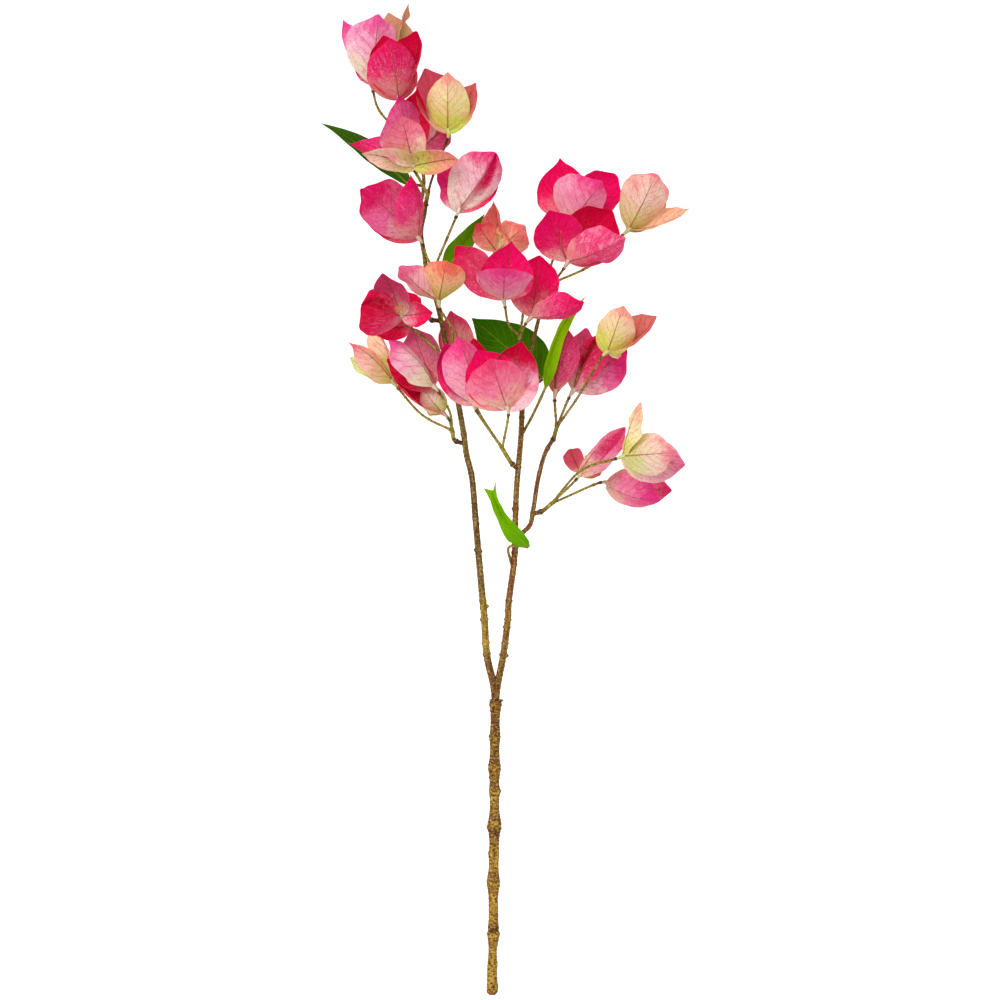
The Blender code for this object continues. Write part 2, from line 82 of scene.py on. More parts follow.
# %% [markdown]
# ## The limbs
#
# The stem runs straight up and forks. Each limb is a smooth line through a few places, told as steps to the
# right, up the spray and off the floor. A swelling is a node of the stem, where leaves once sat: its distance
# up the stem, its extra radius and its half length. These are the lines that the solids were made from, so
# the bark that is laid along them falls where the solids are.

# %% Stem and boughs
STEM_RADIUS = 4.3
STEM_ROUTE = [(-7, 0, 7), (-7, 28, 8), (-6, 56, 10), (-6, 102, 14), (-5, 153, 20), (-5, 204, 27),
              (-4, 266, 35)]
STEM_SWELLINGS = [(2, 0.9, 14), (56, 1.2, 8), (102, 1.5, 9), (127, 0.5, 6), (153, 1.8, 9), (184, 0.6, 5),
                  (205, 1.3, 8), (233, 0.6, 6), (264, 1.0, 7)]
Bough = namedtuple("Bough", "name parent tint foot_radius tip_radius route")
BOUGHS = [
    Bough("left_bough", "main_stem", "bark", 3.4, 1.9,
          [(-4, 264, 35), (-6, 280, 37), (-12, 307, 41), (-14, 338, 44), (-18, 382, 49), (-22, 428, 53),
           (-25, 464, 56), (-30, 486, 58), (-33, 507, 60), (-38, 535, 62), (-49, 587, 65), (-56, 620, 67),
           (-66, 653, 69), (-68, 666, 70), (-71, 686, 72), (-68, 703, 74), (-67, 710, 75)]),
    Bough("right_bough", "main_stem", "bark", 3.2, 2.2,
          [(-4, 264, 35), (-2, 280, 37), (3, 306, 41), (7, 338, 44), (8, 355, 46), (13, 394, 50),
           (14, 435, 54), (15, 457, 56), (17, 481, 58), (19, 505, 60), (20, 531, 61), (21, 561, 63),
           (18, 585, 66)]),
    Bough("left_top_bough", "left_bough", "green_bark", 1.7, 1.5,
          [(-71, 695, 73), (-72, 708, 69), (-69, 724, 63), (-69, 738, 57), (-74, 752, 50), (-81, 762, 46)]),
    Bough("right_top_bough", "right_bough", "bark", 1.8, 1.6,
          [(21, 559, 63), (28, 580, 56), (35, 609, 52), (41, 627, 55), (44, 634, 58)]),
    Bough("side_bough", "right_bough", "bark", 2.2, 1.9,
          [(13, 398, 50), (19, 414, 51), (27, 423, 51), (30, 437, 51), (34, 463, 52), (40, 486, 54),
           (47, 499, 56)]),
]
print(len(BOUGHS), "boughs")

# %% [markdown]
# ## The sprigs
#
# A sprig plugs into a bough and carries a few blooms, and a bloom is three or so bracts, the papery leaves
# that people take for petals. Bracts dealt by chance would all look alike, so each is given one by one and
# the blooms are rows. A bract has the name of its dress, the way that its tip points in degrees clockwise
# from straight up, its rise, its roll, and its hollow, which is above 0 where its inner face shows. Then come
# its length and breadth as shares of the usual ones, its cut, and how much fuller its right half is.

# %% Rows for blooms
Bract = namedtuple("Bract", "dress heading lift turn hollow size breadth cut lean",
                   defaults=(1.0, 1.0, "plain", 0.0))
Bloom = namedtuple("Bloom", "name tint base bracts via")
Sprig = namedtuple("Sprig", "name bough start joint blooms")
SPRIGS = []


def flower(tint, base, *bracts, via=()):
    """A bloom's colour group, where it sits, its bracts, and where its stalk passes."""
    return tint, base, [Bract(*row) for row in bracts], via


def twig(name, bough, start, joint, *flowers):
    """Adds a sprig and names its blooms. One with no start grows on from the end of its bough."""
    blooms = [Bloom(f"{name}_bloom_{number}", *row) for number, row in enumerate(flowers, 1)]
    SPRIGS.append(Sprig(name, bough, start, joint, blooms))


# %% [markdown]
# ### The crown
#
# The top of the spray carries six blooms in two sprigs. One is tan and half dried, and one opens wide enough
# to show its stamens.

# %% Crown blooms
twig("tip", "left_top_bough", None, (-86, 771, 43),
    flower("rose", (-116, 820, 54), ("blossom", 6, 9, -5, -0.6, 1.1, 1.08, "pear", -0.12),
           ("rose", -25, -14, 40, -0.3, 1.12, 0.5, "pear"), ("magenta", -30, -50, 0, 0.5, 0.7, 0.5),
           via=[(-108, 795, 47)]),
    flower("hot", (-91, 808, 77), ("cherry", -8, 22, 0, -0.5, 1.0, 1.12, "heart", -0.14),
           ("crimson", 15, -8, 40, 0.8, 1.07, 0.8, "fan"), ("crimson", -14, -8, 0, 0.4),
           via=[(-90, 788, 50)]),
    flower("tan", (-91, 829, 36), ("tan", -10, -6, 20, -0.4, 0.97),
           ("olive", 6, 3, -60, 0.3, 1.1, 0.7, "waisted"), ("coral", 0, -45, 0, 0.5, 0.75)))
twig("crown", "left_bough", None, (-65, 721, 78),
    flower("cream", (-47, 778, 84), ("lime", 0, 20, 0, -0.5, 0.97, 1.0, "heart"),
           ("dusty", -21, -6, -20, 0.5, 1.03, 0.95), ("wine", 30, -12, 25, 0.5, 0.88, 0.85, "heart"),
           via=[(-60, 738, 76)]),
    flower("hot", (-80, 755, 66), ("magenta", -12, 28, -14, -0.3, 1.15, 1.12, "spire", 0.12),
           ("crimson", 6, 26, 25, 0.6, 1.2, 0.72, "spear"), ("hot", -79, -4, 45, -0.4, 1.0, 0.66, "spear"),
           ("magenta", 50, -18, -10, -0.3, 0.82, 0.9, "fan")),
    flower("cream", (-78, 746, 94), ("flushed", -13, 30, 0, 0.5, 0.9, 1.08, "fan", -0.16),
           ("chalk", -77, 32, 25, 0.5, 0.95, 0.62, "heart", 0.2),
           ("sunset", 81, 42, -8, 0.8, 0.97, 0.68, "rolled", -0.2)))
print(len(SPRIGS), "sprigs so far")

# %% [markdown]
# ### The left side
#
# Four sprigs leave the left bough. The lowest hangs outward, and its blooms are narrow because they are seen
# from the side.

# %% Left blooms
twig("shoulder", "left_bough", (-60, 632, 67), (-60, 652, 80),
    flower("hot", (-74, 682, 86), ("bloomy", -48, 12, 0, -0.5, 1.16, 1.0, "fan", 0.08),
           ("hot", -7, 26, -45, -0.5, 1.1, 0.78, "spear", -0.25), ("crimson", -50, -8, 0, 0.4, 1.17, 0.86),
           via=[(-67, 667, 82)]),
    flower("rose", (-37, 707, 94), ("shell", 33, 16, -14, -0.6, 1.09, 1.05, "folded", -0.08),
           ("hot", 45, -20, 15, 0.6, 0.86), ("magenta", -18, -20, 50, 0.5, 0.88, 0.8)))
twig("fork", "left_bough", (-42, 553, 63), (-45, 571, 74),
    flower("cream", (-55, 625, 92), ("petal", -50, 25, 45, -0.3, 0.88, 0.85, "fan"),
           ("peach", 11, 48, 0, -0.6, 0.95, 1.05, "diamond"), ("hot", 22, -40, 0, 0.5, 0.42, 0.5),
           via=[(-43, 597, 78)]),
    flower("crimson", (-89, 611, 92), ("mauve", -24, 46, 20, 0.5, 1.03, 0.75, "ruffled"),
           ("candy", 84, 46, 0, 0.7, 0.68, 0.9, "pear"),
           ("garnet", -75, 50, 0, -0.5, 1.0, 1.08, "folded", -0.1)))
twig("spur", "left_bough", (-54, 607, 66), (-64, 612, 68),
    flower("crimson", (-79, 608, 76), ("crimson", -112, 0, 0, 0.5, 0.62),
           ("crimson", -60, -14, 0, 0.5, 0.72), ("crimson", -15, -40, 0, 0.5, 0.6)))
twig("low_left", "left_bough", (-32, 496, 59), (-43, 508, 61),
    flower("cream", (-97, 552, 47), ("chalk", -19, 8, 60, 0.5, 1.03, 0.8, "spear"),
           ("chalk", -47, 20, -45, -0.5, 0.97, 0.68, "spear"), ("leafy", -60, -26, -30, 0.5, 0.84, 0.66),
           via=[(-70, 522, 55)]),
    flower("rose", (-60, 548, 80), ("blossom", -43, 20, -50, -0.7, 1.05, 0.85, "pear"),
           ("dusk", -20, -16, 0, -0.4, 1.0, 0.8, "fan"), ("crimson", -60, -8, 0, 0.5, 0.84, 0.8),
           via=[(-45, 524, 74)]),
    flower("dusty", (-52, 524, 70), ("crimson", -56, -2, -60, 0.6, 0.93, 0.8),
           ("chalk", -38, 10, 10, -0.6, 0.5, 1.2), ("blush", -45, -70, 0, 0.5, 0.5)))
print(len(SPRIGS), "sprigs so far")

# %% [markdown]
# ### The middle
#
# Here the blooms are the largest and lie highest, so they overlap their neighbours on both sides.

# %% Middle blooms
twig("centre", "right_bough", (16, 473, 58), (2, 492, 70),
    flower("dusty", (-27, 559, 56), ("dusty", -17, 5, 15, -0.4, 1.03, 0.72, "pear", -0.15),
           ("dusty", -27, -20, 0, 0.5, 1.0, 0.7), ("dusty", -60, -55, 0, 0.5), via=[(-20, 527, 64)]),
    flower("rose", (-23, 533, 84), ("candy", -14, 14, -25, -0.7, 1.07, 1.0, "pear"),
           ("magenta", -27, 4, -5, 0.5, 1.03), ("crimson", 0, -18, 20, 0.6, 1.05, 0.8)),
    flower("rose", (6, 529, 106), ("pink", -19, 38, 0, -0.4, 1.0, 1.35, "heart", -0.1),
           ("velvet", 13, -5, 0, 0.6, 1.05, 1.15, "heart"), ("hot", -28, -6, 0, 0.3, 1.0, 1.15)))
twig("middle", "right_bough", None, (18, 593, 69),
    flower("cream", (21, 624, 78), ("cream", 15, -30, 0, 0.4, 0.8), ("cream", -20, -40, 0, 0.4, 0.7)),
    flower("hot", (3, 626, 102), ("lilac", 3, 61, 0, -0.4, 1.04, 1.2),
           ("bright", 8, 20, 0, 0.5, 0.97, 1.25, "spear"), ("plum", -41, 0, -25, -0.4, 1.1, 0.78, "fan"),
           via=[(8, 603, 84)]),
    flower("hot", (28, 610, 88), ("hot", 8, -6, 8, 0.6, 0.97, 1.2, "ruffled"),
           ("hot", 75, 26, -45, -0.6, 0.94, 0.9, "pear")))
print(len(SPRIGS), "sprigs so far")

# %% [markdown]
# ### The right side
#
# The right top bough holds a tight group, and the side bough ends in two loose ones. The folded dark blooms
# here have one half turned in, and the valley of each fold is painted with shade.

# %% Right blooms
twig("right_top", "right_top_bough", None, (48, 641, 62),
    flower("coral", (-3, 669, 50), ("coral", -36, 35, 0, -0.3, 0.66, 0.8, "diamond"),
           ("coral", -3, 25, 45, 0.3, 0.88, 1.0, "spire"),
           ("salmon", 48, 40, 0, -0.4, 0.77, 1.0, "ruffled"), via=[(27, 648, 50)]),
    flower("hot", (64, 697, 56), ("hot", -10, -10, 10, 0.5, 1.0, 1.15, "spear", -0.12),
           ("candy", 38, 34, -10, -0.5, 0.96, 1.22, "heart", -0.28),
           ("hot", 45, -12, 0, 0.5, 1.02, 0.95, "fan"), via=[(46, 657, 60)]),
    flower("hot", (61, 660, 92), ("hot", -20, 20, 0, 0.4, 0.9, 1.2, "pear"),
           ("crimson", 41, -8, 0, 0.6, 1.06, 1.25, "ruffled"),
           ("faded", 68, 30, -26, -0.5, 1.1, 0.86, "ruffled", -0.05)),
    flower("cream", (116, 689, 50), ("chalk", 26, 20, -10, -0.5, 1.02, 1.02, "fan"),
           ("salmon", 72, 0, 60, 0.5, 1.0, 0.75, "spear"), ("coral", 42, -35, 0, 0.5, 1.0, 0.75),
           via=[(84, 658, 56)]))
twig("right", "side_bough", None, (51, 511, 60),
    flower("crimson", (50, 543, 60), ("plum", 10, 2, 20, -0.5, 1.0, 0.68, "tucked", 0.12),
           ("maroon", 2, -12, 0, 0.4, 0.8, 0.55)),
    flower("crimson", (66, 544, 46), ("ruby", 28, 8, 15, -0.5, 1.0, 0.68, "tucked"),
           ("mauve", 12, -15, 0, -0.4, 1.02, 0.62, "fan"),
           ("magenta", 53, -14, 0, -0.3, 1.07, 0.92, "pear")),
    flower("cream", (97, 579, 84), ("lime", 19, 30, 0, -0.5, 0.87, 0.98, "heart", 0.08),
           ("rosy", 55, 5, 45, 0.7, 0.94, 0.86, "pear"), ("cream", 75, -60, 0, 0.4, 0.42),
           via=[(70, 538, 70)]))
twig("low_right", "side_bough", (30, 433, 51), (46, 442, 50),
    flower("rose", (72, 470, 50), ("mauve", 44, 6, 50, -0.6, 1.0, 0.85, "folded"),
           ("dusty", -24, -36, 0, 0.5, 0.5, 0.9, "fan"), ("rosy", 60, -40, -30, 0.5, 0.75, 0.7)),
    flower("cream", (111, 485, 80), ("lemon", 19, 25, 58, -0.3, 0.97, 0.58, "fan"),
           ("chalk", 86, 35, 0, -0.5, 0.97, 0.98), ("petal", 98, -4, 0, -0.3, 0.97), via=[(73, 472, 78)]),
    flower("rose", (97, 459, 30), ("lilac", 106, 15, -50, -0.6, 0.88, 0.92, "pear", -0.25),
           ("cream", 112, -28, 0, 0.5, 0.66, 0.6), ("pink", 95, -6, 0, -0.4, 1.0, 0.85)))
BLOOMS = [bloom for sprig in SPRIGS for bloom in sprig.blooms]
print(len(BLOOMS), "blooms on", len(SPRIGS), "sprigs")

# %% [markdown]
# ### The leaves
#
# A leaf has the start of its stalk, the place where its blade begins, and the same angles and hollow as a
# bract. After its length and width come its lean, how far its midrib bows sideways, and a bend in its stalk.

# %% Leaf rows
Leaf = namedtuple("Leaf", "name start base heading lift turn hollow length width lean bow via",
                  defaults=((),))
LEAVES = [
    Leaf("dark_leaf", (-69, 728, 61), (-84, 731, 40), -55, 0, 30, 0.5, 94, 27, 0.5, 0),
    Leaf("shoulder_leaf", (-64, 648, 69), (-49, 654, 54), 36, -15, 20, 0.3, 62, 20, 0, 0),
    Leaf("broad_leaf", (21, 540, 62), (38, 556, 36), -50, -2, 0, 0.25, 83, 54, 0, 0),
    Leaf("narrow_leaf", (19, 503, 60), (42, 549, 76), 24, 3, -36, 0.5, 88, 15.5, 0, -6, [(30, 523, 69)]),
    Leaf("curled_leaf", (11, 386, 49), (25.5, 403.5, 66), -32, 2, 6, 0.25, 66, 20, 0, -5.5, [(8, 403, 60)]),
]
print(len(LEAVES), "leaves")

# %% [markdown]
# ## A line to build along
#
# A curve object could carry a bevel, but relief needs a say over every point of the surface. So a limb's line
# is kept as points in an array, measured by the length along it, and rings are set round it later. A blade
# needs directions instead: along its midrib, to its right, and out of its face.


# %% Path and directions
class Path:
    """A smooth line through a few places, measured by the length along it."""

    def __init__(self, places):
        given = np.array(places, float)
        ends = np.vstack([2 * given[0] - given[1], given, 2 * given[-1] - given[-2]])
        dense = []
        for before, here, there, after in zip(ends, ends[1:], ends[2:], ends[3:]):
            count = max(2, math.ceil(np.linalg.norm(there - here)))
            t = np.arange(count)[:, None] / count
            square = 2 * before - 5 * here + 4 * there - after
            cubic = 3 * (here - there) + after - before
            dense.append(here + 0.5 * t * (there - before + t * (square + t * cubic)))
        self.places = np.vstack([*dense, given[-1]])
        strides = np.linalg.norm(np.diff(self.places, axis=0), axis=1)
        self.lengths = np.concatenate([[0.0], np.cumsum(strides)])
        self.length = self.lengths[-1]

    def at(self, lengths):
        return np.stack([np.interp(lengths, self.lengths, axis) for axis in self.places.T], axis=-1)

    def nearest(self, place):
        """The length along the line at which it passes closest to a place."""
        return self.lengths[np.argmin(np.linalg.norm(self.places - np.array(place), axis=1))]

    def up_to(self, y):
        """The length at which the line reaches a height up the spray."""
        return self.lengths[np.argmin(abs(self.places[:, 1] - y))]


def directions(heading, lift, turn):
    """A blade's own axes: along its midrib, to its right, and out of its upper face."""
    bearing, rise, roll = (math.radians(angle) for angle in (heading, lift, turn))
    ahead = np.array([math.sin(bearing), math.cos(bearing), 0.0])
    along = math.cos(rise) * ahead + np.array([0.0, 0.0, math.sin(rise)])
    level = np.array([math.cos(bearing), -math.sin(bearing), 0.0])
    up = np.cross(level, along)
    return along, math.cos(roll) * level + math.sin(roll) * up, math.cos(roll) * up - math.sin(roll) * level


def unit(vector):
    return vector / np.linalg.norm(vector, axis=-1, keepdims=True)


# %% [markdown]
# ## Piles of parts
#
# Blender is slow with thousands of small objects and quick with a few large ones. So the parts of one kind
# go onto a pile, and each pile becomes one mesh. Beside its place, every point keeps what the finish has to
# know: where it is on its own blade, in millimetres and as a share, and the colours that were dealt to it.


# %% Pile
SHARP_ANGLE = math.radians(50)


class Pile:
    """Gathers the parts of one kind, and makes them into one mesh that rides on the spray."""

    def __init__(self, name):
        self.name = name
        self.places, self.faces = [], []
        self.marks = {}
        self.count = 0

    def add(self, places, faces, **marks):
        places = places.reshape(-1, 3)
        self.places.append(places)
        self.faces.extend((faces + self.count).tolist())
        self.count += len(places)
        for mark, value in marks.items():
            spread = np.broadcast_to(np.asarray(value, float), (len(places), 3))
            self.marks.setdefault(mark, []).append(spread)

    def make(self, finish, slot, nodes):
        mesh = bpy.data.meshes.new(self.name)
        places = np.vstack(self.places) * MM + SHIFT
        mesh.from_pydata(places.tolist(), [], self.faces)
        for mark, value in self.marks.items():
            layer = mesh.attributes.new(mark, "FLOAT_VECTOR", "POINT")
            layer.data.foreach_set("vector", np.vstack(value).astype(np.float32).ravel())
        mesh.shade_smooth()
        mesh.set_sharp_from_angle(angle=SHARP_ANGLE)
        mesh.materials.append(finish)
        made = bpy.data.objects.new(self.name, mesh)
        bpy.context.scene.collection.objects.link(made)
        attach(made, "root")
        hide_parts(*nodes)
        print(self.name, "has", len(mesh.polygons), "faces and stands for", len(nodes), "solids")


def grid_faces(rows, columns, closed=False):
    """The quads of a grid of points. A closed grid joins its last column to its first."""
    index = np.arange(rows * columns).reshape(rows, columns)
    if closed:
        index = np.hstack([index, index[:, :1]])
    return np.stack([index[:-1, :-1], index[1:, :-1], index[1:, 1:], index[:-1, 1:]], axis=-1).reshape(-1, 4)


# %% [markdown]
# ## Rings round a line
#
# A stem is a stack of rings. Each ring keeps the roll of the one before it, so the skin doesn't twist where
# the line bends. The radius may differ at every point of every ring, and that is where relief comes from.


# %% Sweep
UP = np.array([0.0, 0.0, 1.0])


def ring_frames(ahead):
    """Two directions square to a line at each of its points, that turn no more than the line does."""
    side = unit(np.cross(ahead[0], UP))
    frames = []
    for forward in ahead:
        side = unit(side - forward * (side @ forward))
        frames.append((side, np.cross(side, forward)))
    return (np.array(axes)[:, None] for axes in zip(*frames))


def sweep(pile, path, lengths, relief, sides, colour, seed=0.0):
    """Lays a closed skin along a path. relief takes lengths and angles, and colour takes them too."""
    centres = path.at(lengths)
    sideways, upward = ring_frames(unit(np.gradient(centres, axis=0)))
    run, turn = np.meshgrid(lengths, np.arange(sides) * 2 * math.pi / sides, indexing="ij")
    radii = relief(run, turn)
    ring = np.cos(turn)[..., None] * sideways + np.sin(turn)[..., None] * upward
    skin = centres[:, None] + radii[..., None] * ring
    grain = np.stack([radii * np.minimum(turn, 2 * math.pi - turn), run, np.full_like(run, seed)], axis=-1)
    tint = np.broadcast_to(colour(run, turn), skin.shape)
    faces = grid_faces(len(lengths), sides, closed=True)
    pile.add(skin, faces, grain=grain.reshape(-1, 3), tint=tint.reshape(-1, 3))
    around = np.arange(sides)
    fan = np.stack([around, np.roll(around, -1), np.full(sides, sides)], axis=-1)
    for end, flip in ((0, 1), (-1, -1)):
        pile.add(np.vstack([skin[end], centres[end]]), fan[:, ::flip],
                 grain=np.vstack([grain[end], grain[end].mean(axis=0)]),
                 tint=np.vstack([tint[end], tint[end].mean(axis=0)]))


def steps(start, end, step):
    return np.linspace(start, end, max(3, round((end - start) / step) + 1))


def swell(place, middle, half):
    """A smooth swelling of height 1, which falls to about a third at its half length."""
    return np.exp(-(((place - middle) / half) ** 2))


def knobbed(base, *knobs):
    """A round stalk's radius: even, but for knobs that each have a place, a height and a half length."""
    return lambda run, turn=0.0: base + sum(height * swell(run, place, half) for place, height, half in knobs)

# %% [markdown]
# ## Shader sums in plain Python
#
# A material is a small machine of nodes. Writing each node by hand hides the idea, so one class wraps an
# output and lets sums be written as sums: every + or * on it adds a Math node. Colours go through Mix nodes
# instead, because a Math node would turn them grey. They go on in coats, as paint does: each coat has a mask,
# which says how much of it shows where, and a colour.


# %% Wire
def operators(operation):
    """An operator, and its reflected form for when the number comes first."""
    return (lambda wire, other: wire.math(operation, wire, other),
            lambda wire, other: wire.math(operation, other, wire))


class Wire:
    """What comes out of a node, ready for sums."""

    def __init__(self, finish, socket):
        self.finish, self.socket = finish, socket

    def math(self, operation, *values):
        return self.finish.node("ShaderNodeMath", {"operation": operation}, dict(enumerate(values)))

    __add__, __radd__ = operators("ADD")
    __sub__, __rsub__ = operators("SUBTRACT")
    __mul__, __rmul__ = operators("MULTIPLY")
    __truediv__, __rtruediv__ = operators("DIVIDE")

    def __abs__(self):
        return self.math("ABSOLUTE", self)

    def fraction(self):
        return self.math("FRACT", self)

    def fade(self, low, high):
        """0 at low, 1 at high, smooth between them; low may be the larger."""
        return self.finish.node("ShaderNodeMapRange", {"interpolation_type": "SMOOTHSTEP"},
                                {"Value": self, "From Min": low, "From Max": high})


# %% Finish
def paint(red, green, blue):
    """A colour as it is mixed on a palette, 0 to 255, as the light that a surface sends back."""
    return np.array([(part / 255) ** 2.2 for part in (red, green, blue)])


class Finish:
    """A material with one Principled surface."""

    def __init__(self, name, roughness, specular):
        self.material = bpy.data.materials.new(name)
        self.material.use_nodes = True
        self.tree = self.material.node_tree
        self.surface = self.tree.nodes["Principled BSDF"]
        self.fix("Roughness", roughness)
        self.fix("Specular IOR Level", specular)

    def fix(self, socket, value):
        self.surface.inputs[socket].default_value = value

    def feed(self, socket, wire):
        self.tree.links.new(wire.socket, self.surface.inputs[socket])

    def node(self, kind, settings, sockets, out=0):
        """The one way to add any node: its type, its settings, and the values or wires of its sockets."""
        made = self.tree.nodes.new(kind)
        for setting, value in settings.items():
            setattr(made, setting, value)
        for socket, value in sockets.items():
            if isinstance(value, Wire):
                self.tree.links.new(value.socket, made.inputs[socket])
            else:
                made.inputs[socket].default_value = value
        return Wire(self, made.outputs[out])

    def mark(self, name):
        return self.node("ShaderNodeAttribute", {"attribute_name": name}, {}, out="Vector")

    def parts(self, vector):
        split = self.node("ShaderNodeSeparateXYZ", {}, {"Vector": vector})
        return [Wire(self, socket) for socket in split.socket.node.outputs]

    def join(self, x, y, z):
        return self.node("ShaderNodeCombineXYZ", {}, {"X": x, "Y": y, "Z": z})

    def stretch(self, vector, across, along):
        scale = (across, along, 1.0)
        return self.node("ShaderNodeVectorMath", {"operation": "MULTIPLY"}, {0: vector, 1: scale})

    def noise(self, vector, across, along, detail=2.0, roughness=0.5):
        """Noise with so many features to the millimetre across and along a part."""
        stretched = self.stretch(vector, across, along)
        sockets = {"Vector": stretched, "Scale": 1.0, "Detail": detail, "Roughness": roughness}
        return self.node("ShaderNodeTexNoise", {}, sockets)

    def net(self, vector, across, along, wall):
        """1 on the walls of a net of cells, and 0 inside them."""
        cells = self.node("ShaderNodeTexVoronoi", {"feature": "DISTANCE_TO_EDGE"},
                          {"Vector": self.stretch(vector, across, along), "Scale": 1.0})
        return cells.fade(wall, 0.0)

    def coat(self, colour, *coats):
        """Lays coats over a colour, each a mask and its own colour, and feeds the result to the surface."""
        for mask, over in coats:
            over = over if isinstance(over, Wire) else (*paint(*over), 1.0)
            below = colour if isinstance(colour, Wire) else (*paint(*colour), 1.0)
            colour = self.node("ShaderNodeMix", {"data_type": "RGBA"}, {0: mask, 6: below, 7: over}, out=2)
        self.feed("Base Color", colour)

    def bump(self, height, distance):
        sockets = {"Height": height, "Distance": distance * MM, "Strength": 1.0}
        self.feed("Normal", self.node("ShaderNodeBump", {}, sockets))


# %% [markdown]
# ## Bark
#
# The stem is moulded plastic, cast from a real twig, then painted ochre with brown and purple wiped into its
# wrinkles. An image could hold that, but noise that is stretched round or along the stem never repeats. So
# the finish starts from the colour that was dealt to each stretch, with its painted side shade, lays brown
# patches over it, then streaks along the stem, then darkens the pits of the wrinkles and paints a highlight
# on their tops, and ends with red specks.


# %% Bark finish
def bark_finish(name, patch, deep, streaks):
    finish = Finish(name, roughness=0.62, specular=0.08)
    grain = finish.mark("grain")
    wrinkle = finish.noise(grain, 0.36, 0.5, 4.0, 0.68)
    groove = finish.noise(grain, 0.14, 0.17, 4.0, 0.66)
    streak = finish.noise(grain, 0.9, 0.07, 3.0, 0.62)
    blotch = finish.noise(grain, 0.16, 0.09, 4.0, 0.65)
    speck = finish.noise(grain, 0.7, 0.7)
    finish.coat(finish.mark("tint"),
                (blotch.fade(0.48, 0.6) * (0.8 * patch), (116, 70, 34)),
                (streak.fade(0.5, 0.62) * streaks, (70, 44, 34)),
                (streak.fade(0.48, 0.36) * (0.8 * streaks), (206, 184, 112)),
                (groove.fade(0.48, 0.38) * (0.75 * deep), (104, 58, 30)),
                (wrinkle.fade(0.5, 0.41) * (0.88 * deep), (68, 40, 18)),
                # Painted highlight: the tops of the wrinkles are painted a light straw colour.
                (wrinkle.fade(0.53, 0.63) * (0.6 * deep), (218, 190, 104)),
                (speck.fade(0.57, 0.66) * (0.45 * patch), (124, 40, 40)))
    finish.feed("Roughness", 0.5 + streak * 0.3)
    finish.bump(wrinkle * 0.8 + groove * 0.6 + streak * 0.3, 0.7)
    print(name, "has", len(finish.tree.nodes), "nodes")
    return finish.material


stem_bark = bark_finish("stem_bark", patch=0.8, deep=1.0, streaks=0.15)
bough_bark = bark_finish("bough_bark", patch=0.55, deep=0.55, streaks=0.6)
twig_bark = bark_finish("twig_bark", patch=0.35, deep=0.6, streaks=0.5)

# %% [markdown]
# ## The relief of the bark
#
# A cast twig has rings where leaves once sat, small nubs and thorns at its sides, and a skin that is never
# quite round. Each of those is one term of the radius. A ring has its height up the spray, how far it stands
# out and its half width. A nub also has an angle round the limb, 0 at its right and half a turn at its left.

# %% Rings and nubs
RINGS = {
    "main_stem": [(0, -2.6, 1.4), (3, -0.3, 2), (40, -0.45, 7), (55, 0.75, 1.2), (58.5, -0.5, 1.5),
                  (99, 0.45, 1.4), (103, 0.35, 1.2), (150, 0.6, 1.6), (155, 0.4, 1.2), (203, 0.55, 1.0),
                  (207, 0.4, 0.9), (233, 0.3, 0.9), (261, 0.5, 1.6), (265, 0.5, 1.0)],
    "left_bough": [(307, 0.75, 1.1), (316.5, 0.8, 1.0), (338, 0.75, 1.1), (349, 0.45, 1.0),
                   (354.5, 0.65, 0.9), (382, -0.4, 1.0), (384, 0.35, 0.8), (400, 0.5, 1.0), (429, 0.4, 1.2),
                   (470, 0.35, 1.0), (505, 0.5, 1.4), (560, 0.4, 1.5)],
    "right_bough": [(306, 0.85, 1.3), (317, 0.5, 0.9), (331.5, 0.7, 0.9), (338, 0.7, 0.9), (354.5, 0.75, 0.9),
                    (388, 0.5, 1.2), (398, 0.45, 1.5), (438, 0.5, 1.6), (446, -0.25, 1.0), (475, 0.4, 1.3),
                    (520, 0.35, 1.2)],
    "side_bough": [(413, 0.4, 1.2), (433, 0.7, 2.0), (470, 0.3, 1.0), (492, 0.5, 1.6)],
    "left_top_bough": [(726, 0.4, 1.2), (745, 0.4, 1.2)],
    "right_top_bough": [(590, 0.4, 1.2), (615, 0.4, 1.2)],
}
NUBS = {
    "main_stem": [(184, 0.2, 1.3, 2.4), (151, 3.0, 0.9, 2.2), (127, 3.1, 0.6, 2.0), (8, 0.1, 0.5, 2.5),
                  (28, 0.0, 0.6, 3.0), (233, 3.1, 0.6, 1.6), (266, 0.2, 2.4, 1.3), (196, 3.1, 0.5, 1.4)],
    "left_bough": [(350, 0.2, 2.6, 1.5), (401, 3.0, 1.4, 1.0), (399, 0.2, 0.8, 1.0), (424, 0.1, 0.7, 1.2),
                   (338, 3.0, 0.8, 1.2)],
    "right_bough": [(306, 0.1, 1.5, 1.4), (331, 3.1, 0.7, 0.9), (346, 3.0, 0.6, 1.2), (438, 3.1, 0.7, 1.4)],
}
NUB_SPREAD = 0.42
WAVES = 7
print("rings on", len(RINGS), "limbs and nubs on", len(NUBS))


# %% Relief
def limb_relief(name, path, radius, rough):
    """The radius of a limb at a length and an angle, with its rings, its nubs and its uneven skin."""
    pitches = RNG.uniform(0.15, 2.4, WAVES)
    lobes = RNG.integers(1, 5, WAVES)
    starts = RNG.uniform(0, 2 * math.pi, WAVES)

    def relief(run, turn):
        total = radius(run)
        for y, height, half in RINGS[name]:
            total = total + height * swell(run, path.up_to(y), half)
        for y, angle, height, size in NUBS.get(name, ()):
            away = np.angle(np.exp(1j * (turn - angle)))
            total = total + height * swell(run, path.up_to(y), size) * swell(away, 0.0, NUB_SPREAD)
        for pitch, lobe, start in zip(pitches, lobes, starts):
            total = total + rough * np.sin(run * pitch + lobe * turn + start) / WAVES**0.5
        return total

    return relief
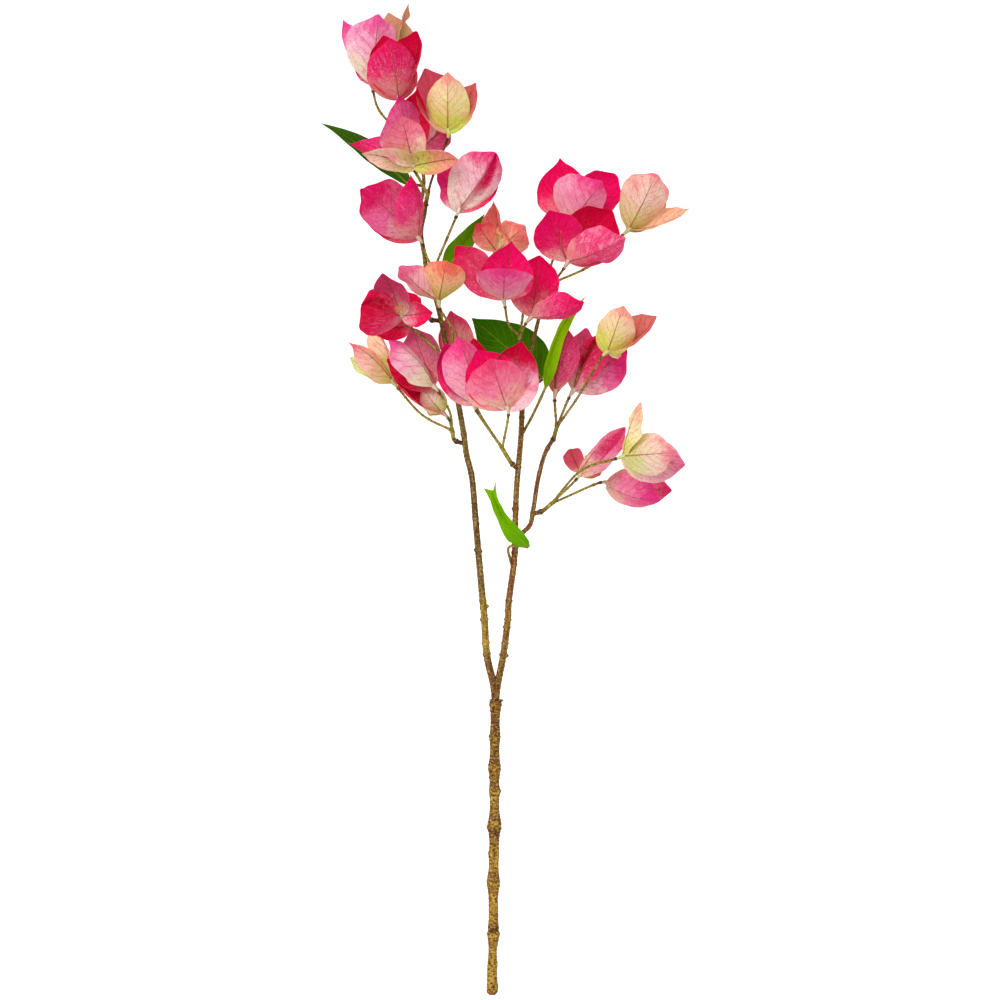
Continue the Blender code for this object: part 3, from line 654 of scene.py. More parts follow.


# %% [markdown]
# ## The paint of the limbs
#
# The painter let one colour run into the next up the stem, so a limb's paint is a list of stops, each a
# length along the limb and a colour. Both sides are painted darker, as painted shade where a round limb
# turns away from the view from above; twigs, stalks, calyxes and stamens take the same painted shade.

# %% Bark colours
SIDE_SHADE = 0.5


def between(*stops):
    """A paint that changes along a limb, through stops, and is darker at both sides as painted shade."""
    places = [place for place, _ in stops]
    channels = np.array([colour for _, colour in stops]).T

    def colour(run, turn):
        # Painted shade: each side of a round part, as seen from above, is darkened by up to half.
        unshaded = 1 - SIDE_SHADE * np.abs(np.cos(turn)) ** 3
        return np.stack([np.interp(run, places, channel) * unshaded for channel in channels], axis=-1)

    return colour


OCHRE, STRAW, WORN = paint(174, 130, 50), paint(192, 154, 62), paint(150, 112, 44)
UMBER, RUSSET, REED = paint(122, 84, 52), paint(132, 82, 54), paint(128, 124, 44)
PIT, FOOT_RED = paint(96, 58, 30), paint(158, 78, 56)
LIMB_STOPS = {
    "main_stem": [(0, FOOT_RED), (4, OCHRE), (22, STRAW), (48, OCHRE), (54, STRAW), (57, PIT), (60, PIT),
                  (66, OCHRE), (86, STRAW), (96, OCHRE), (101, STRAW), (107, UMBER), (113, OCHRE),
                  (126, STRAW), (134, OCHRE), (144, UMBER), (149, PIT), (155, STRAW), (160, UMBER),
                  (170, OCHRE), (182, STRAW), (190, UMBER), (199, WORN), (205, OCHRE), (211, UMBER),
                  (222, paint(134, 98, 42)), (233, WORN), (240, UMBER), (254, paint(120, 88, 42)),
                  (262, WORN), (268, PIT), (276, paint(132, 100, 48)), (310, UMBER)],
    "left_bough": [(0, UMBER), (40, UMBER), (55, STRAW), (88, paint(166, 136, 46)),
                   (100, paint(128, 106, 56)), (165, paint(98, 74, 48)), (200, paint(96, 74, 44)),
                   (240, paint(120, 106, 54)), (300, paint(104, 88, 44)), (460, paint(112, 112, 44))],
    "right_bough": [(0, UMBER), (36, paint(140, 106, 46)), (50, paint(128, 86, 50)),
                    (75, paint(160, 126, 50)), (100, RUSSET), (130, paint(138, 78, 46)),
                    (170, paint(136, 96, 44)), (320, paint(120, 100, 42))],
    "side_bough": [(0, paint(130, 84, 40)), (40, RUSSET), (110, paint(124, 82, 56))],
    "left_top_bough": [(0, REED), (80, REED)],
    "right_top_bough": [(0, UMBER), (80, paint(110, 96, 40))],
}
print("paint has", sum(len(stops) for stops in LIMB_STOPS.values()), "stops")

# %% [markdown]
# ## Laying the stem and the boughs
#
# A bough is laid in two lengths. The first, from its line's start to just outside the limb that it leaves, is
# cast with that limb and joins its pile, and the rest joins the pile for its kind of bark, so that each solid
# has its own skin.

# %% Lay the limbs
CROTCH_LENGTH, STUB_LENGTH = 36.0, 12.0
STEM_STEP = 0.8
STEM_SIDES, BOUGH_SIDES = 32, 24
STEM_ROUGH, BOUGH_ROUGH = 0.16, 0.11
stem_pile = Pile("stem_with_bark")
bough_piles = {"bark": Pile("boughs_with_bark"), "green_bark": Pile("green_bough")}
piles = {"main_stem": stem_pile} | {bough.name: bough_piles[bough.tint] for bough in BOUGHS}
stem_path, stem_radius = Path(STEM_ROUTE), knobbed(STEM_RADIUS, *STEM_SWELLINGS)
routes, radii = {"main_stem": stem_path}, {"main_stem": stem_radius}
relief = limb_relief("main_stem", stem_path, stem_radius, STEM_ROUGH)
colour = between(*LIMB_STOPS["main_stem"])
sweep(stem_pile, stem_path, steps(0, stem_path.length, STEM_STEP), relief, STEM_SIDES, colour)


def taper(bough, path):
    return lambda run: bough.foot_radius + (bough.tip_radius - bough.foot_radius) * run / path.length


for bough in BOUGHS:
    path = Path(bough.route)
    routes[bough.name], radii[bough.name] = path, taper(bough, path)
    parent = bough.parent
    past_bark = CROTCH_LENGTH if parent == "main_stem" else STUB_LENGTH
    cut = radii[parent](routes[parent].nearest(path.places[0])) + past_bark
    relief = limb_relief(bough.name, path, radii[bough.name], BOUGH_ROUGH)
    colour = between(*LIMB_STOPS[bough.name])
    sweep(piles[parent], path, steps(0, cut, STEM_STEP), relief, BOUGH_SIDES, colour)
    sweep(piles[bough.name], path, steps(cut, path.length, STEM_STEP), relief, BOUGH_SIDES, colour)
print("limbs are", {name: round(path.length) for name, path in routes.items()}, "mm long")

# %% [markdown]
# ## The dresses
#
# The printer of the cloth sprays each bract with two or three colours that run into one another: one at the
# tip, one in the middle and one at the foot, and a deeper one inside. The inner face's deeper colour is
# partly its own print and partly painted shade of the cup. Those four are a dress. Its spill says how far up
# the foot's colour runs, and where the tip's and the heart's begin. Each bract gets its dress by name, moved
# a little by chance, as two prints of one pattern never match.

# %% Dresses
Dress = namedtuple("Dress", "tip middle foot heart spill", defaults=((0.5, 0.5, 0.1),))
DRESSES = {
    "blossom": Dress((230, 84, 148), (240, 176, 196), (232, 218, 184), (238, 20, 104), (0.6, 0.52, 0.2)),
    "rose": Dress((232, 66, 136), (238, 156, 188), (238, 210, 180), (240, 20, 108)),
    "candy": Dress((244, 60, 132), (248, 156, 188), (246, 200, 196), (240, 16, 90), (0.45, 0.5, 0.1)),
    "shell": Dress((228, 50, 118), (244, 184, 198), (246, 222, 208), (216, 6, 84), (0.62, 0.56, 0.1)),
    "pink": Dress((230, 60, 112), (242, 118, 156), (240, 184, 168), (238, 0, 92)),
    "petal": Dress((238, 110, 148), (246, 184, 184), (226, 208, 150), (244, 160, 164)),
    "hot": Dress((228, 14, 90), (234, 50, 118), (232, 150, 150), (236, 10, 94)),
    "cherry": Dress((226, 20, 84), (220, 30, 94), (218, 136, 128), (236, 10, 94)),
    "bright": Dress((240, 24, 112), (242, 66, 132), (234, 150, 160), (244, 20, 112)),
    "bloomy": Dress((214, 20, 90), (232, 98, 146), (236, 186, 176), (232, 20, 92)),
    "magenta": Dress((224, 30, 108), (234, 96, 152), (238, 184, 186), (238, 30, 112)),
    "crimson": Dress((210, 0, 60), (210, 6, 64), (218, 96, 118), (216, 0, 66)),
    "velvet": Dress((206, 0, 62), (240, 134, 164), (248, 212, 208), (206, 0, 60), (0.58, 0.5, 0.38)),
    "garnet": Dress((224, 0, 70), (232, 30, 92), (246, 140, 160), (208, 0, 58), (0.4, 0.4, 0.32)),
    "ruby": Dress((204, 0, 62), (226, 50, 104), (246, 190, 190), (176, 0, 42), (0.45, 0.5, 0.32)),
    "plum": Dress((200, 10, 74), (216, 60, 104), (226, 150, 130), (136, 8, 26), (0.35, 0.6, 0.32)),
    "dusk": Dress((206, 84, 130), (212, 112, 142), (214, 170, 130), (206, 52, 98), (0.4, 0.5, 0.32)),
    "leafy": Dress((226, 228, 150), (222, 232, 150), (206, 218, 110), (224, 234, 160)),
    "maroon": Dress((204, 20, 76), (186, 24, 58), (206, 128, 104), (190, 12, 50)),
    "wine": Dress((186, 16, 56), (222, 120, 110), (206, 220, 104), (222, 104, 100), (0.5, 0.66, 0.4)),
    "faded": Dress((248, 190, 202), (230, 60, 118), (238, 166, 158), (236, 90, 130), (0.4, 0.86, 0.1)),
    "lime": Dress((246, 150, 142), (246, 214, 170), (214, 214, 92), (244, 196, 150), (0.62, 0.6, 0.2)),
    "lemon": Dress((246, 162, 144), (248, 226, 176), (216, 222, 110), (248, 222, 176), (0.62, 0.62, 0.2)),
    "peach": Dress((240, 112, 92), (244, 196, 146), (200, 208, 88), (244, 170, 134), (0.6, 0.44, 0.2)),
    "sunset": Dress((220, 30, 84), (248, 176, 140), (224, 232, 112), (255, 180, 150), (0.56, 0.68, 0.3)),
    "chalk": Dress((240, 120, 132), (246, 204, 180), (216, 210, 124), (252, 220, 186), (0.58, 0.58, 0.2)),
    "cream": Dress((238, 128, 130), (244, 212, 182), (236, 224, 164), (246, 196, 160)),
    "flushed": Dress((236, 60, 112), (250, 184, 176), (250, 232, 196), (255, 128, 152), (0.5, 0.6, 0.26)),
    "blush": Dress((236, 84, 124), (250, 186, 180), (242, 224, 172), (252, 176, 178), (0.5, 0.6, 0.2)),
    "rosy": Dress((214, 66, 96), (220, 136, 120), (238, 214, 160), (214, 124, 112)),
    "coral": Dress((240, 66, 94), (250, 164, 142), (246, 210, 160), (250, 136, 128)),
    "salmon": Dress((240, 124, 116), (250, 190, 156), (232, 214, 140), (248, 190, 158)),
    "dusty": Dress((206, 56, 96), (218, 132, 126), (226, 190, 146), (206, 84, 100)),
    "tan": Dress((204, 140, 116), (196, 160, 112), (172, 160, 70), (200, 134, 110)),
    "olive": Dress((226, 136, 124), (190, 188, 80), (168, 162, 50), (216, 160, 116), (0.4, 0.46, 0.6)),
    "mauve": Dress((216, 72, 118), (226, 136, 160), (230, 196, 160), (206, 52, 98)),
    "lilac": Dress((232, 56, 130), (236, 118, 160), (238, 178, 172), (240, 44, 118), (0.45, 0.45, 0.1)),
}
SHADE_JITTER = 0.07


def colours_of(dress, moved=1.0):
    return {part: paint(*getattr(dress, part)) * moved for part in ("tip", "middle", "foot", "heart")}


def deal(name):
    """The colours of one bract: its dress, moved a little by chance."""
    dress = DRESSES[name]
    moved = 1 + RNG.uniform(-SHADE_JITTER, SHADE_JITTER, 3)
    return colours_of(dress, moved) | {"spill": dress.spill}


print(len(DRESSES), "dresses")

# %% [markdown]
# ## The lines of the twigs
#
# A side sprig leaves its bough square to the bark and then turns toward its joint, where its pedicels meet. A
# pedicel is the thin stalk of a bloom. It arrives along the bloom's own axis, which is the mean of the ways
# that its bracts point, so that the calyx on its end sits straight under the bracts.

# %% Twig paths
STUB_PAST_BARK, BEND_PAST_STUB = 3.8, 2.0
SIDE_LEAN = 0.35
PLUG_LENGTH = 3.0
CALYX_LENGTH, CALYX_PAST_BASE, CALYX_FOOT = 8.0, 2.5, 1.0


def bark_place(sprig):
    """The length along its bough at which a side sprig starts, and the bark's radius there."""
    place = routes[sprig.bough].nearest(sprig.start)
    return place, radii[sprig.bough](place)


def side_path(sprig):
    line = routes[sprig.bough]
    start = np.array(sprig.start, float)
    place, bark = bark_place(sprig)
    axis = unit(line.at(place + 1) - line.at(place - 1))
    lead = np.array(sprig.joint) - start
    forward = axis * (lead @ axis)
    clear = bark + STUB_PAST_BARK + BEND_PAST_STUB
    return Path([start, start + unit(lead - forward) * clear + forward * SIDE_LEAN, sprig.joint])


def tip_path(sprig):
    """A twig on the end of a bough carries straight on from it."""
    before, end = routes[sprig.bough].places[-2:]
    return Path([end, end + unit(end - before) * PLUG_LENGTH, sprig.joint])


def bloom_axis(bloom):
    return unit(sum(directions(bract.heading, bract.lift, bract.turn)[0] for bract in bloom.bracts))


def pedicel_path(joint, bloom):
    base, axis = np.array(bloom.base, float), bloom_axis(bloom)
    return Path([joint, *bloom.via, base - axis * CALYX_LENGTH, base + axis * CALYX_PAST_BASE])


# %% [markdown]
# ## Twigs and calyxes
#
# The real twigs are cast in green plastic and brushed with dark brown, more on some stalks than on others.
# They swell at the joint and again in a dark knob under each bloom, and have small uneven nodes between.
# Above the knob a pale ribbed calyx opens like a small trumpet and holds the bracts.

# %% Relief of twigs and calyxes
SLEEVE_RADIUS, PEDICEL_RADIUS = 2.2, 1.2
CALYX_NECK, CALYX_FLARE, CALYX_OPENING = 1.15, 1.1, 0.65 * math.pi
CALYX_RIB, CALYX_RIBS = 0.07, 5
TWIG_NODES = 6


def twig_relief(radius, rough):
    """A twig's radius with small uneven nodes along it."""
    nodes = RNG.uniform(0, 80, TWIG_NODES)
    heights = RNG.uniform(0.12, 0.38, TWIG_NODES)

    def relief(run, turn):
        total = radius(run) + rough * np.sin(run * 1.9 + 2 * turn) * 0.5
        return total + sum(height * swell(run, node, 0.9) for node, height in zip(nodes, heights))

    return relief


def calyx_relief(neck, end):
    def relief(run, turn):
        share = np.clip((run - neck) / (end - neck), 0, 1)
        flare = CALYX_FLARE * np.sin(CALYX_OPENING * share) ** 1.6
        return (CALYX_NECK + flare) * (1 + CALYX_RIB * np.cos(CALYX_RIBS * turn))

    return relief


# %% Lay the sleeves, the pedicels and the calyxes
TWIG_GREEN, TWIG_BROWN, TWIG_DARK = paint(176, 174, 58), paint(104, 66, 48), paint(64, 44, 34)
CALYX_PALE = paint(206, 208, 168)
BROWN_STALKS = {"crown_bloom_1": 0.95, "shoulder_bloom_2": 0.6, "centre_bloom_3": 0.1, "right_bloom_1": 0.6,
                "right_bloom_2": 0.5, "right_bloom_3": 0.6, "tip_bloom_1": 0.15, "right_top_bloom_3": 0.4}
TWIG_STEP, CALYX_STEP = 0.9, 0.7
SLEEVE_SIDES, PEDICEL_SIDES, CALYX_SIDES = 14, 12, 15
twig_pile, calyx_pile = Pile("twigs_and_pedicels"), Pile("calyxes")


def lay_sleeve(sprig):
    path = side_path(sprig) if sprig.start else tip_path(sprig)
    cut = bark_place(sprig)[1] + STUB_PAST_BARK if sprig.start else 0.0
    seed = RNG.uniform(0, 100)
    relief = twig_relief(knobbed(SLEEVE_RADIUS - 0.3, (cut + 1.2, 0.9, 1.4)), 0.2)
    shade = between((0, TWIG_DARK), (cut + 3, TWIG_DARK), (cut + 8, TWIG_GREEN * 0.8), (60, TWIG_GREEN))
    sweep(twig_pile, path, steps(0, path.length, TWIG_STEP), relief, SLEEVE_SIDES, shade, seed)


def lay_pedicel(joint, bloom):
    line = pedicel_path(joint, bloom)
    neck = line.length - CALYX_LENGTH - CALYX_PAST_BASE + CALYX_FOOT
    chance = RNG.uniform(0.0, 0.45)
    brown = BROWN_STALKS.get(bloom.name, chance)
    tone = TWIG_GREEN * (1 - brown) + TWIG_BROWN * brown
    relief = twig_relief(knobbed(PEDICEL_RADIUS - 0.1, (1.0, 0.75, 2.5), (neck - 1.0, 0.6, 1.1)), 0.12)
    shade = between((0, tone), (neck - 7, tone), (neck - 2, TWIG_DARK), (neck + 2, TWIG_DARK * 1.3))
    lengths = steps(0, neck + 0.5, TWIG_STEP)
    sweep(twig_pile, line, lengths, relief, PEDICEL_SIDES, shade, RNG.uniform(0, 100))
    pale = CALYX_PALE * 0.35 + 0.6 * paint(*DRESSES[bloom.bracts[0].dress].foot)
    shade = between((neck, pale * (0.85, 0.85, 0.6)), (neck + 3, pale), (line.length, pale))
    lengths = steps(neck, line.length, CALYX_STEP)
    relief = calyx_relief(neck, line.length)
    sweep(calyx_pile, line, lengths, relief, CALYX_SIDES, shade, RNG.uniform(0, 100))


for sprig in SPRIGS:
    lay_sleeve(sprig)
    for bloom in sprig.blooms:
        lay_pedicel(sprig.joint, bloom)
print("twigs hold", twig_pile.count, "points and calyxes", calyx_pile.count)

# %% [markdown]
# ## The cuts
#
# The cloth is stamped into a few outlines before it is pressed. A cut says how blunt the blade is at its foot
# and at its tip, and how far it is drawn to a point. It also says how long its lobes hang beside the stalk,
# how deep its fold is, how far its margins roll, how much it waves, and whether it has a waist.

# %% Cuts and outline
Cut = namedtuple("Cut", "foot tip point lobe fold curl wave waist", defaults=(0.0,))
CUTS = {
    "plain": Cut(0.6, 0.74, 0.3, 0.012, 0, 0, 1.8),
    "pear": Cut(0.8, 0.66, 0.5, 0, 0, 0, 1.6),
    "heart": Cut(0.42, 0.74, 0.35, 0.018, 0, 0, 1.6),
    "spear": Cut(0.7, 1.0, 0.45, 0, 0, 0, 1.8),
    "spire": Cut(0.6, 1.4, 0.3, 0, 0, 0, 2.0),
    "diamond": Cut(0.95, 0.9, 0.2, 0, 0, 0, 2.6),
    "fan": Cut(0.66, 0.48, 0.45, 0, 0, 0, 2.0),
    "folded": Cut(0.6, 0.62, 0.3, 0.02, 6.0, 0, 1.2),
    "tucked": Cut(0.8, 0.62, 0.3, 0, -6.0, 0, 1.2),
    "rolled": Cut(0.6, 0.7, 0.3, 0, 0, 6.0, 1.0),
    "ruffled": Cut(0.6, 0.66, 0.4, 0, 0, 0, 3.4),
    "waisted": Cut(0.6, 0.8, 0.6, 0, 0, 0, 1.0, 0.75),
    "leaf": Cut(0.55, 1.05, 0.2, 0.01, 0, 0, 1.6),
}
BLUNT = 0.012
WAIST_PLACE, WAIST_HALF = 0.72, 0.09


def fullness(u, cut):
    """The width of a blade at a share of its length, as a share of its greatest width."""
    widest = cut.foot / (cut.foot + cut.tip)
    full = (u / widest) ** cut.foot * ((1 - u) / (1 - widest)) ** cut.tip
    drawn = np.clip((u - 0.78) / 0.2, 0, 1)
    full = full * (1 - cut.point * drawn**2 * (3 - 2 * drawn))
    full = full * (1 - cut.waist * swell(u, WAIST_PLACE, WAIST_HALF))
    return np.maximum(full, BLUNT * u)


print(len(CUTS), "cuts")

# %% [markdown]
# ## Pressing a blade
#
# Heat-pressed cloth cups like paper. Solidify could thicken a sheet, but the two faces of a real bract differ
# in colour, so both are made here, with the rim between them. The sheet starts as the shallow spoon that the
# solids have. To that come a keel and a crease along the midrib, lobes beside the stalk, a wavy margin, a
# fold or a roll where the cut asks for one, and small puckers between the side veins.

# %% Presses
CUP_ACROSS, CUP_ALONG = math.radians(80.0), math.radians(70.0)
Press = namedtuple("Press", "claw thickness keel pucker veins rows columns")
BRACT_PRESS = Press(claw=4.4, thickness=0.35, keel=10, pucker=0.35, veins=7, rows=48, columns=21)
LEAF_PRESS = Press(claw=2 * PEDICEL_RADIUS, thickness=0.4, keel=14, pucker=0.25, veins=9, rows=56, columns=17)
CREASE, CREASE_HALF = 0.9, 0.13
FOLD_PLACE, FOLD_HALF = 0.3, 0.2
RAGGED = ((2.7, 1, 0.014), (6.1, 2, 0.006))
NOD = 2.5
TAIL_START, TAIL_NOTCH = 0.8, 0.1
FULL_TURN = 2 * math.pi
Chance = namedtuple("Chance", "phases nod rates seed")


def throw():
    """The chances that make one blade unlike the next."""
    return Chance(RNG.uniform(0, FULL_TURN, 6), RNG.uniform(-NOD, NOD), RNG.uniform(0.9, 2.1, 2),
                  RNG.uniform(0, 900))


# %% The shape of a sheet
def half_widths(u, x, width, press, cut, lean, tail, chance):
    """How far a sheet reaches to each side of its midrib."""
    side = np.where(x < 0, *chance.phases[:2])
    ragged = 1 + sum(depth * np.sin(FULL_TURN * rate * u + times * side) for rate, times, depth in RAGGED)
    outline = tail(u, x) if tail else fullness(u, cut)
    return np.maximum(width / 2 * (1 + lean * np.sign(x)) * ragged * outline, press.claw / 2 * (1 - u))


def surface_relief(u, x, across, inward, press, cut, chance):
    """How far a sheet stands out of its plain spoon."""
    belly = 4 * u * (1 - u)
    ripple = np.sin(FULL_TURN * np.where(x < 0, *chance.rates) * u + np.where(x < 0, *chance.phases[2:4]))
    crisp = 0.22 * np.sin(FULL_TURN * (4.3 * u + 0.3 * x) + chance.phases[4])
    out = cut.wave * (ripple + crisp) * abs(x) ** 2.2 * belly
    out = out + inward * math.tan(math.radians(press.keel)) * abs(across) * belly
    out = out - inward * CREASE * swell(x, 0.0, CREASE_HALF) * belly**0.5
    out = out - abs(cut.fold) * swell(x * np.sign(cut.fold), FOLD_PLACE, FOLD_HALF) * belly**0.5
    out = out + inward * cut.curl * abs(x) ** 5 * belly
    veins = np.cos(FULL_TURN * (u - 0.34 * abs(x) ** 1.2) * press.veins)
    return out - press.pucker * veins * belly * (1 - abs(x) ** 3)


def close_sheet(sheet, out, thickness):
    """The front, the back and the rim of a sheet, as places and quads."""
    rows, columns = sheet.shape[:2]
    normal = unit(np.cross(np.gradient(sheet, axis=1), np.gradient(sheet, axis=0)) + 1e-9 * out)
    places = np.concatenate([sheet + normal * thickness / 2, sheet - normal * thickness / 2])
    front = grid_faces(rows, columns)
    index = np.arange(rows * columns).reshape(rows, columns)
    rim = np.concatenate([index[0, :], index[1:, -1], index[-1, -2::-1], index[-2::-1, 0]])
    edge = np.stack([rim[:-1], rim[1:], rim[1:] + rows * columns, rim[:-1] + rows * columns], axis=-1)
    return places, np.concatenate([front[:, ::-1], front + rows * columns, edge])


# %% Blade
def press_blade(pile, base, blade, length, width, press, cut, bow=0.0, tail=None, **marks):
    """Presses one bract or leaf onto a pile. blade is its row, with its angles, its hollow and its lean."""
    along, right, out = directions(blade.heading, blade.lift, blade.turn)
    chance = throw()
    inward = np.sign(blade.hollow)
    u, x = np.meshgrid(0.5 - 0.5 * np.cos(np.linspace(0, math.pi, press.rows)),
                       np.sin(np.linspace(-1, 1, press.columns) * math.pi / 2), indexing="ij")
    half = half_widths(u, x, width, press, cut, blade.lean, tail, chance)
    arc, cup = CUP_ALONG * blade.hollow, CUP_ACROSS * blade.hollow
    bend, span = arc * (u - 0.5), 2 * np.sin(arc / 2)
    across = half * np.sin(cup * x) / cup
    reach = length * (np.sin(bend) + np.sin(arc / 2)) / span
    raised = length * (np.cos(arc / 2) - np.cos(bend)) / span + chance.nod * u**4
    raised = raised + half * (1 - np.cos(cup * x)) / cup
    raised = raised + surface_relief(u, x, across, inward, press, cut, chance)
    reach = reach - 3.2 * cut.lobe * length * (1 - u) ** 5 * abs(x) ** 1.5
    across = across + bow * 4 * u * (1 - u)
    if tail:
        reach = reach - length * TAIL_NOTCH * np.clip((u - TAIL_START) / 0.2, 0, 1) ** 2 * (1 - abs(x))
    sheet = base + reach[..., None] * along + across[..., None] * right + raised[..., None] * out
    places, faces = close_sheet(sheet, out, press.thickness)
    flat = np.stack([half * x, length * u, np.full_like(u, chance.seed)], axis=-1)
    faces_inside = (float(inward > 0), float(inward < 0))
    spread = [np.stack([x, u, np.full_like(u, inside)], axis=-1) for inside in faces_inside]
    pile.add(places, faces, flat=np.concatenate([flat, flat]).reshape(-1, 3),
             spread=np.concatenate(spread).reshape(-1, 3), folded=(np.sign(cut.fold), 0, 0), **marks)


# %% Press every bract
BRACT_LENGTH, BRACT_WIDTH = 58.0, 44.0
TINTS = ["rose", "hot", "crimson", "cream", "coral", "dusty", "tan"]
bract_piles = {tint: Pile(f"{tint}_bracts") for tint in TINTS}
for bloom in BLOOMS:
    for bract in bloom.bracts:
        length, width = BRACT_LENGTH * bract.size, BRACT_WIDTH * bract.size * bract.breadth
        press_blade(bract_piles[bloom.tint], bloom.base, bract, length, width, BRACT_PRESS, CUTS[bract.cut],
                    **deal(bract.dress))
print("bract points:", {tint: pile.count for tint, pile in bract_piles.items()})

# %% [markdown]
# ## Printed cloth
#
# The colours run from foot to tip, but not evenly: the dye follows the weave in fine streaks and pools in
# blotches. Veins leave the midrib and arch toward the margin, and a finer net fills the space between them.
# The same lines also feed the bump, because the veins were pressed into the cloth as it was printed.


# %% Lines of the print
def side_veins(across, climb, count, half, reach):
    """Thin lines that leave the midrib at even steps of the climb and fade out toward the margin."""
    lane = climb * float(count)
    return abs(lane.fraction() - 0.5).fade(half, 0.0) * abs(across).fade(1.0, reach)


def rib(over, along):
    """A line down the middle that narrows toward the tip. over is in millimetres."""
    return (abs(over) - (1 - along) * 0.5).fade(0.35, 0.0)


# %% Bract finish
def bract_finish():
    finish = Finish("printed_bract", roughness=0.75, specular=0.05)
    flat = finish.mark("flat")
    over, up, own = finish.parts(flat)
    across, along, inside = finish.parts(finish.mark("spread"))
    foot_ends, tip_starts, heart_starts = finish.parts(finish.mark("spill"))
    folded = finish.parts(finish.mark("folded"))[0]
    middle, tip, heart = (finish.mark(part) for part in ("middle", "tip", "heart"))
    cloud = finish.noise(flat, 0.05, 0.05, 3.0, 0.6)
    blotch = finish.noise(flat, 0.2, 0.16, 4.0, 0.7)
    fleck = finish.noise(flat, 0.75, 0.55, 4.0, 0.7)
    ray = finish.noise(finish.join(over / (up + 9.0) * 34.0, up * 0.1, own), 1.0, 1.0, 4.0, 0.65)
    run = along + (cloud - 0.5) * 0.7 + (blotch - 0.5) * 0.4 + (ray - 0.5) * 0.45
    tuck = across * folded
    # Painted shade: the valley beside a fold is painted in the deep inner colour.
    fold_shade = tuck.fade(0.0, 0.07) * tuck.fade(0.66, 0.4) * along.fade(0.2, 0.55)
    pale = ray.fade(0.52, 0.7) * 0.24 + fleck.fade(0.46, 0.34) * 0.22
    wander = (finish.noise(flat, 0.11, 0.11) - 0.5) * 0.15
    side_vein = side_veins(across, along - abs(across) * 0.34 + wander, BRACT_PRESS.veins, 0.06, 0.55)
    net = finish.net(flat, 0.34, 0.3, 0.06)
    midrib = rib(over, along) * along.fade(1.0, 0.7)
    vein_red = (186, 24, 60)
    finish.coat(finish.mark("foot"),
                (run.fade(foot_ends - 0.45, foot_ends), middle),
                (run.fade(tip_starts, tip_starts + 0.42), tip),
                # Partly painted shade: the inner face takes its deeper heart colour, partly its own print and
                # partly shade of the cup.
                (inside * run.fade(heart_starts, heart_starts + 0.45) * 0.95, heart),
                (fold_shade, heart),
                (blotch.fade(0.5, 0.64) * 0.3, tip),
                (fleck.fade(0.52, 0.66) * 0.22, tip),
                (pale * (1 - inside * 0.7) * run.fade(1.1, 0.3), (255, 236, 226)),
                (net * 0.16, vein_red),
                (side_vein * 0.36, vein_red),
                (ray.fade(0.44, 0.32) * 0.24, vein_red),
                # Painted shade: the rim of every bract is painted a little darker.
                (abs(across).fade(0.965, 1.0) * 0.35, (196, 70, 60)),
                (midrib * 0.7, (166, 80, 40)))
    finish.feed("Roughness", 0.62 + fleck * 0.25)
    finish.bump(ray * 0.6 + fleck * 0.3 - side_vein * 0.45 - net * 0.25 - midrib * 0.6 + blotch * 0.6, 0.7)
    return finish.material


cloth = bract_finish()
print("one finish,", len(cloth.node_tree.nodes), "nodes, dresses every bract")

# %% [markdown]
# ## Stamens
#
# In the heart of each bloom stand a few thin filaments with a yellow bead at the end. They are small, but a
# bloom that opens toward the viewer looks empty without them. In one bloom they are longer and bent aside.

# %% Stamens
STAMENS = 4
STAMEN_STEP, STAMEN_SIDES = 0.7, 8
FILAMENT_RADIUS, ANTHER_RADIUS = 0.3, 1.25
FILAMENT, ANTHER = paint(238, 190, 160), paint(240, 160, 20)
SPREAD_STAMENS = {"crown_bloom_3": (-0.42, 0.35, -0.15)}
SPREAD_REACH = 1.3
stamen_pile = Pile("stamens")


def lay_stamen(bloom):
    axis, base = bloom_axis(bloom), np.array(bloom.base, float)
    lean = RNG.normal(0, 0.16, 3) + SPREAD_STAMENS.get(bloom.name, (0, 0, 0))
    reach = RNG.uniform(15, 21) * (SPREAD_REACH if bloom.name in SPREAD_STAMENS else 1.0)
    line = Path([base, base + axis * reach * 0.5 + lean * 2, base + unit(axis + lean) * reach])
    bead = knobbed(FILAMENT_RADIUS, (line.length - 1.1, ANTHER_RADIUS - FILAMENT_RADIUS, 0.8))
    shade = between((0, FILAMENT), (line.length - 2.4, FILAMENT), (line.length - 1.6, ANTHER))
    sweep(stamen_pile, line, steps(0, line.length, STAMEN_STEP), bead, STAMEN_SIDES, shade)


for bloom in BLOOMS:
    for _ in range(STAMENS):
        lay_stamen(bloom)
print("stamens:", stamen_pile.count, "points")

# %% [markdown]
# ## Leaves
#
# There are only five leaves, all of printed green cloth, from a dark one near the crown to a lime one low on
# the right bough. They are pressed as the bracts are. One is curled, with a narrow waist and a notched end
# that spreads like a fish's tail, so its outline is told by half widths. Stalks are cast like the twigs.

# %% Press the leaves and lay their stalks
LEAF_GREENS = {
    "dark_leaf": Dress((52, 100, 24), (44, 86, 12), (50, 92, 20), (60, 104, 20)),
    "shoulder_leaf": Dress((84, 138, 0), (76, 128, 0), (82, 138, 4), (92, 148, 4)),
    "broad_leaf": Dress((38, 98, 0), (54, 116, 0), (66, 126, 0), (66, 126, 0)),
    "narrow_leaf": Dress((160, 194, 20), (138, 178, 4), (112, 160, 0), (140, 184, 4)),
    "curled_leaf": Dress((122, 176, 0), (112, 170, 0), (80, 138, 0), (112, 172, 0)),
}
TAIL_PLACES = [0.0, 0.08, 0.22, 0.39, 0.53, 0.66, 0.73, 0.8, 0.9, 1.0]
TAIL_LEFT = [0.05, 0.55, 0.9, 0.75, 0.55, 0.5, 0.42, 0.36, 0.46, 0.62]
TAIL_RIGHT = [0.05, 0.5, 0.7, 0.55, 0.4, 0.4, 0.34, 0.34, 0.5, 0.68]
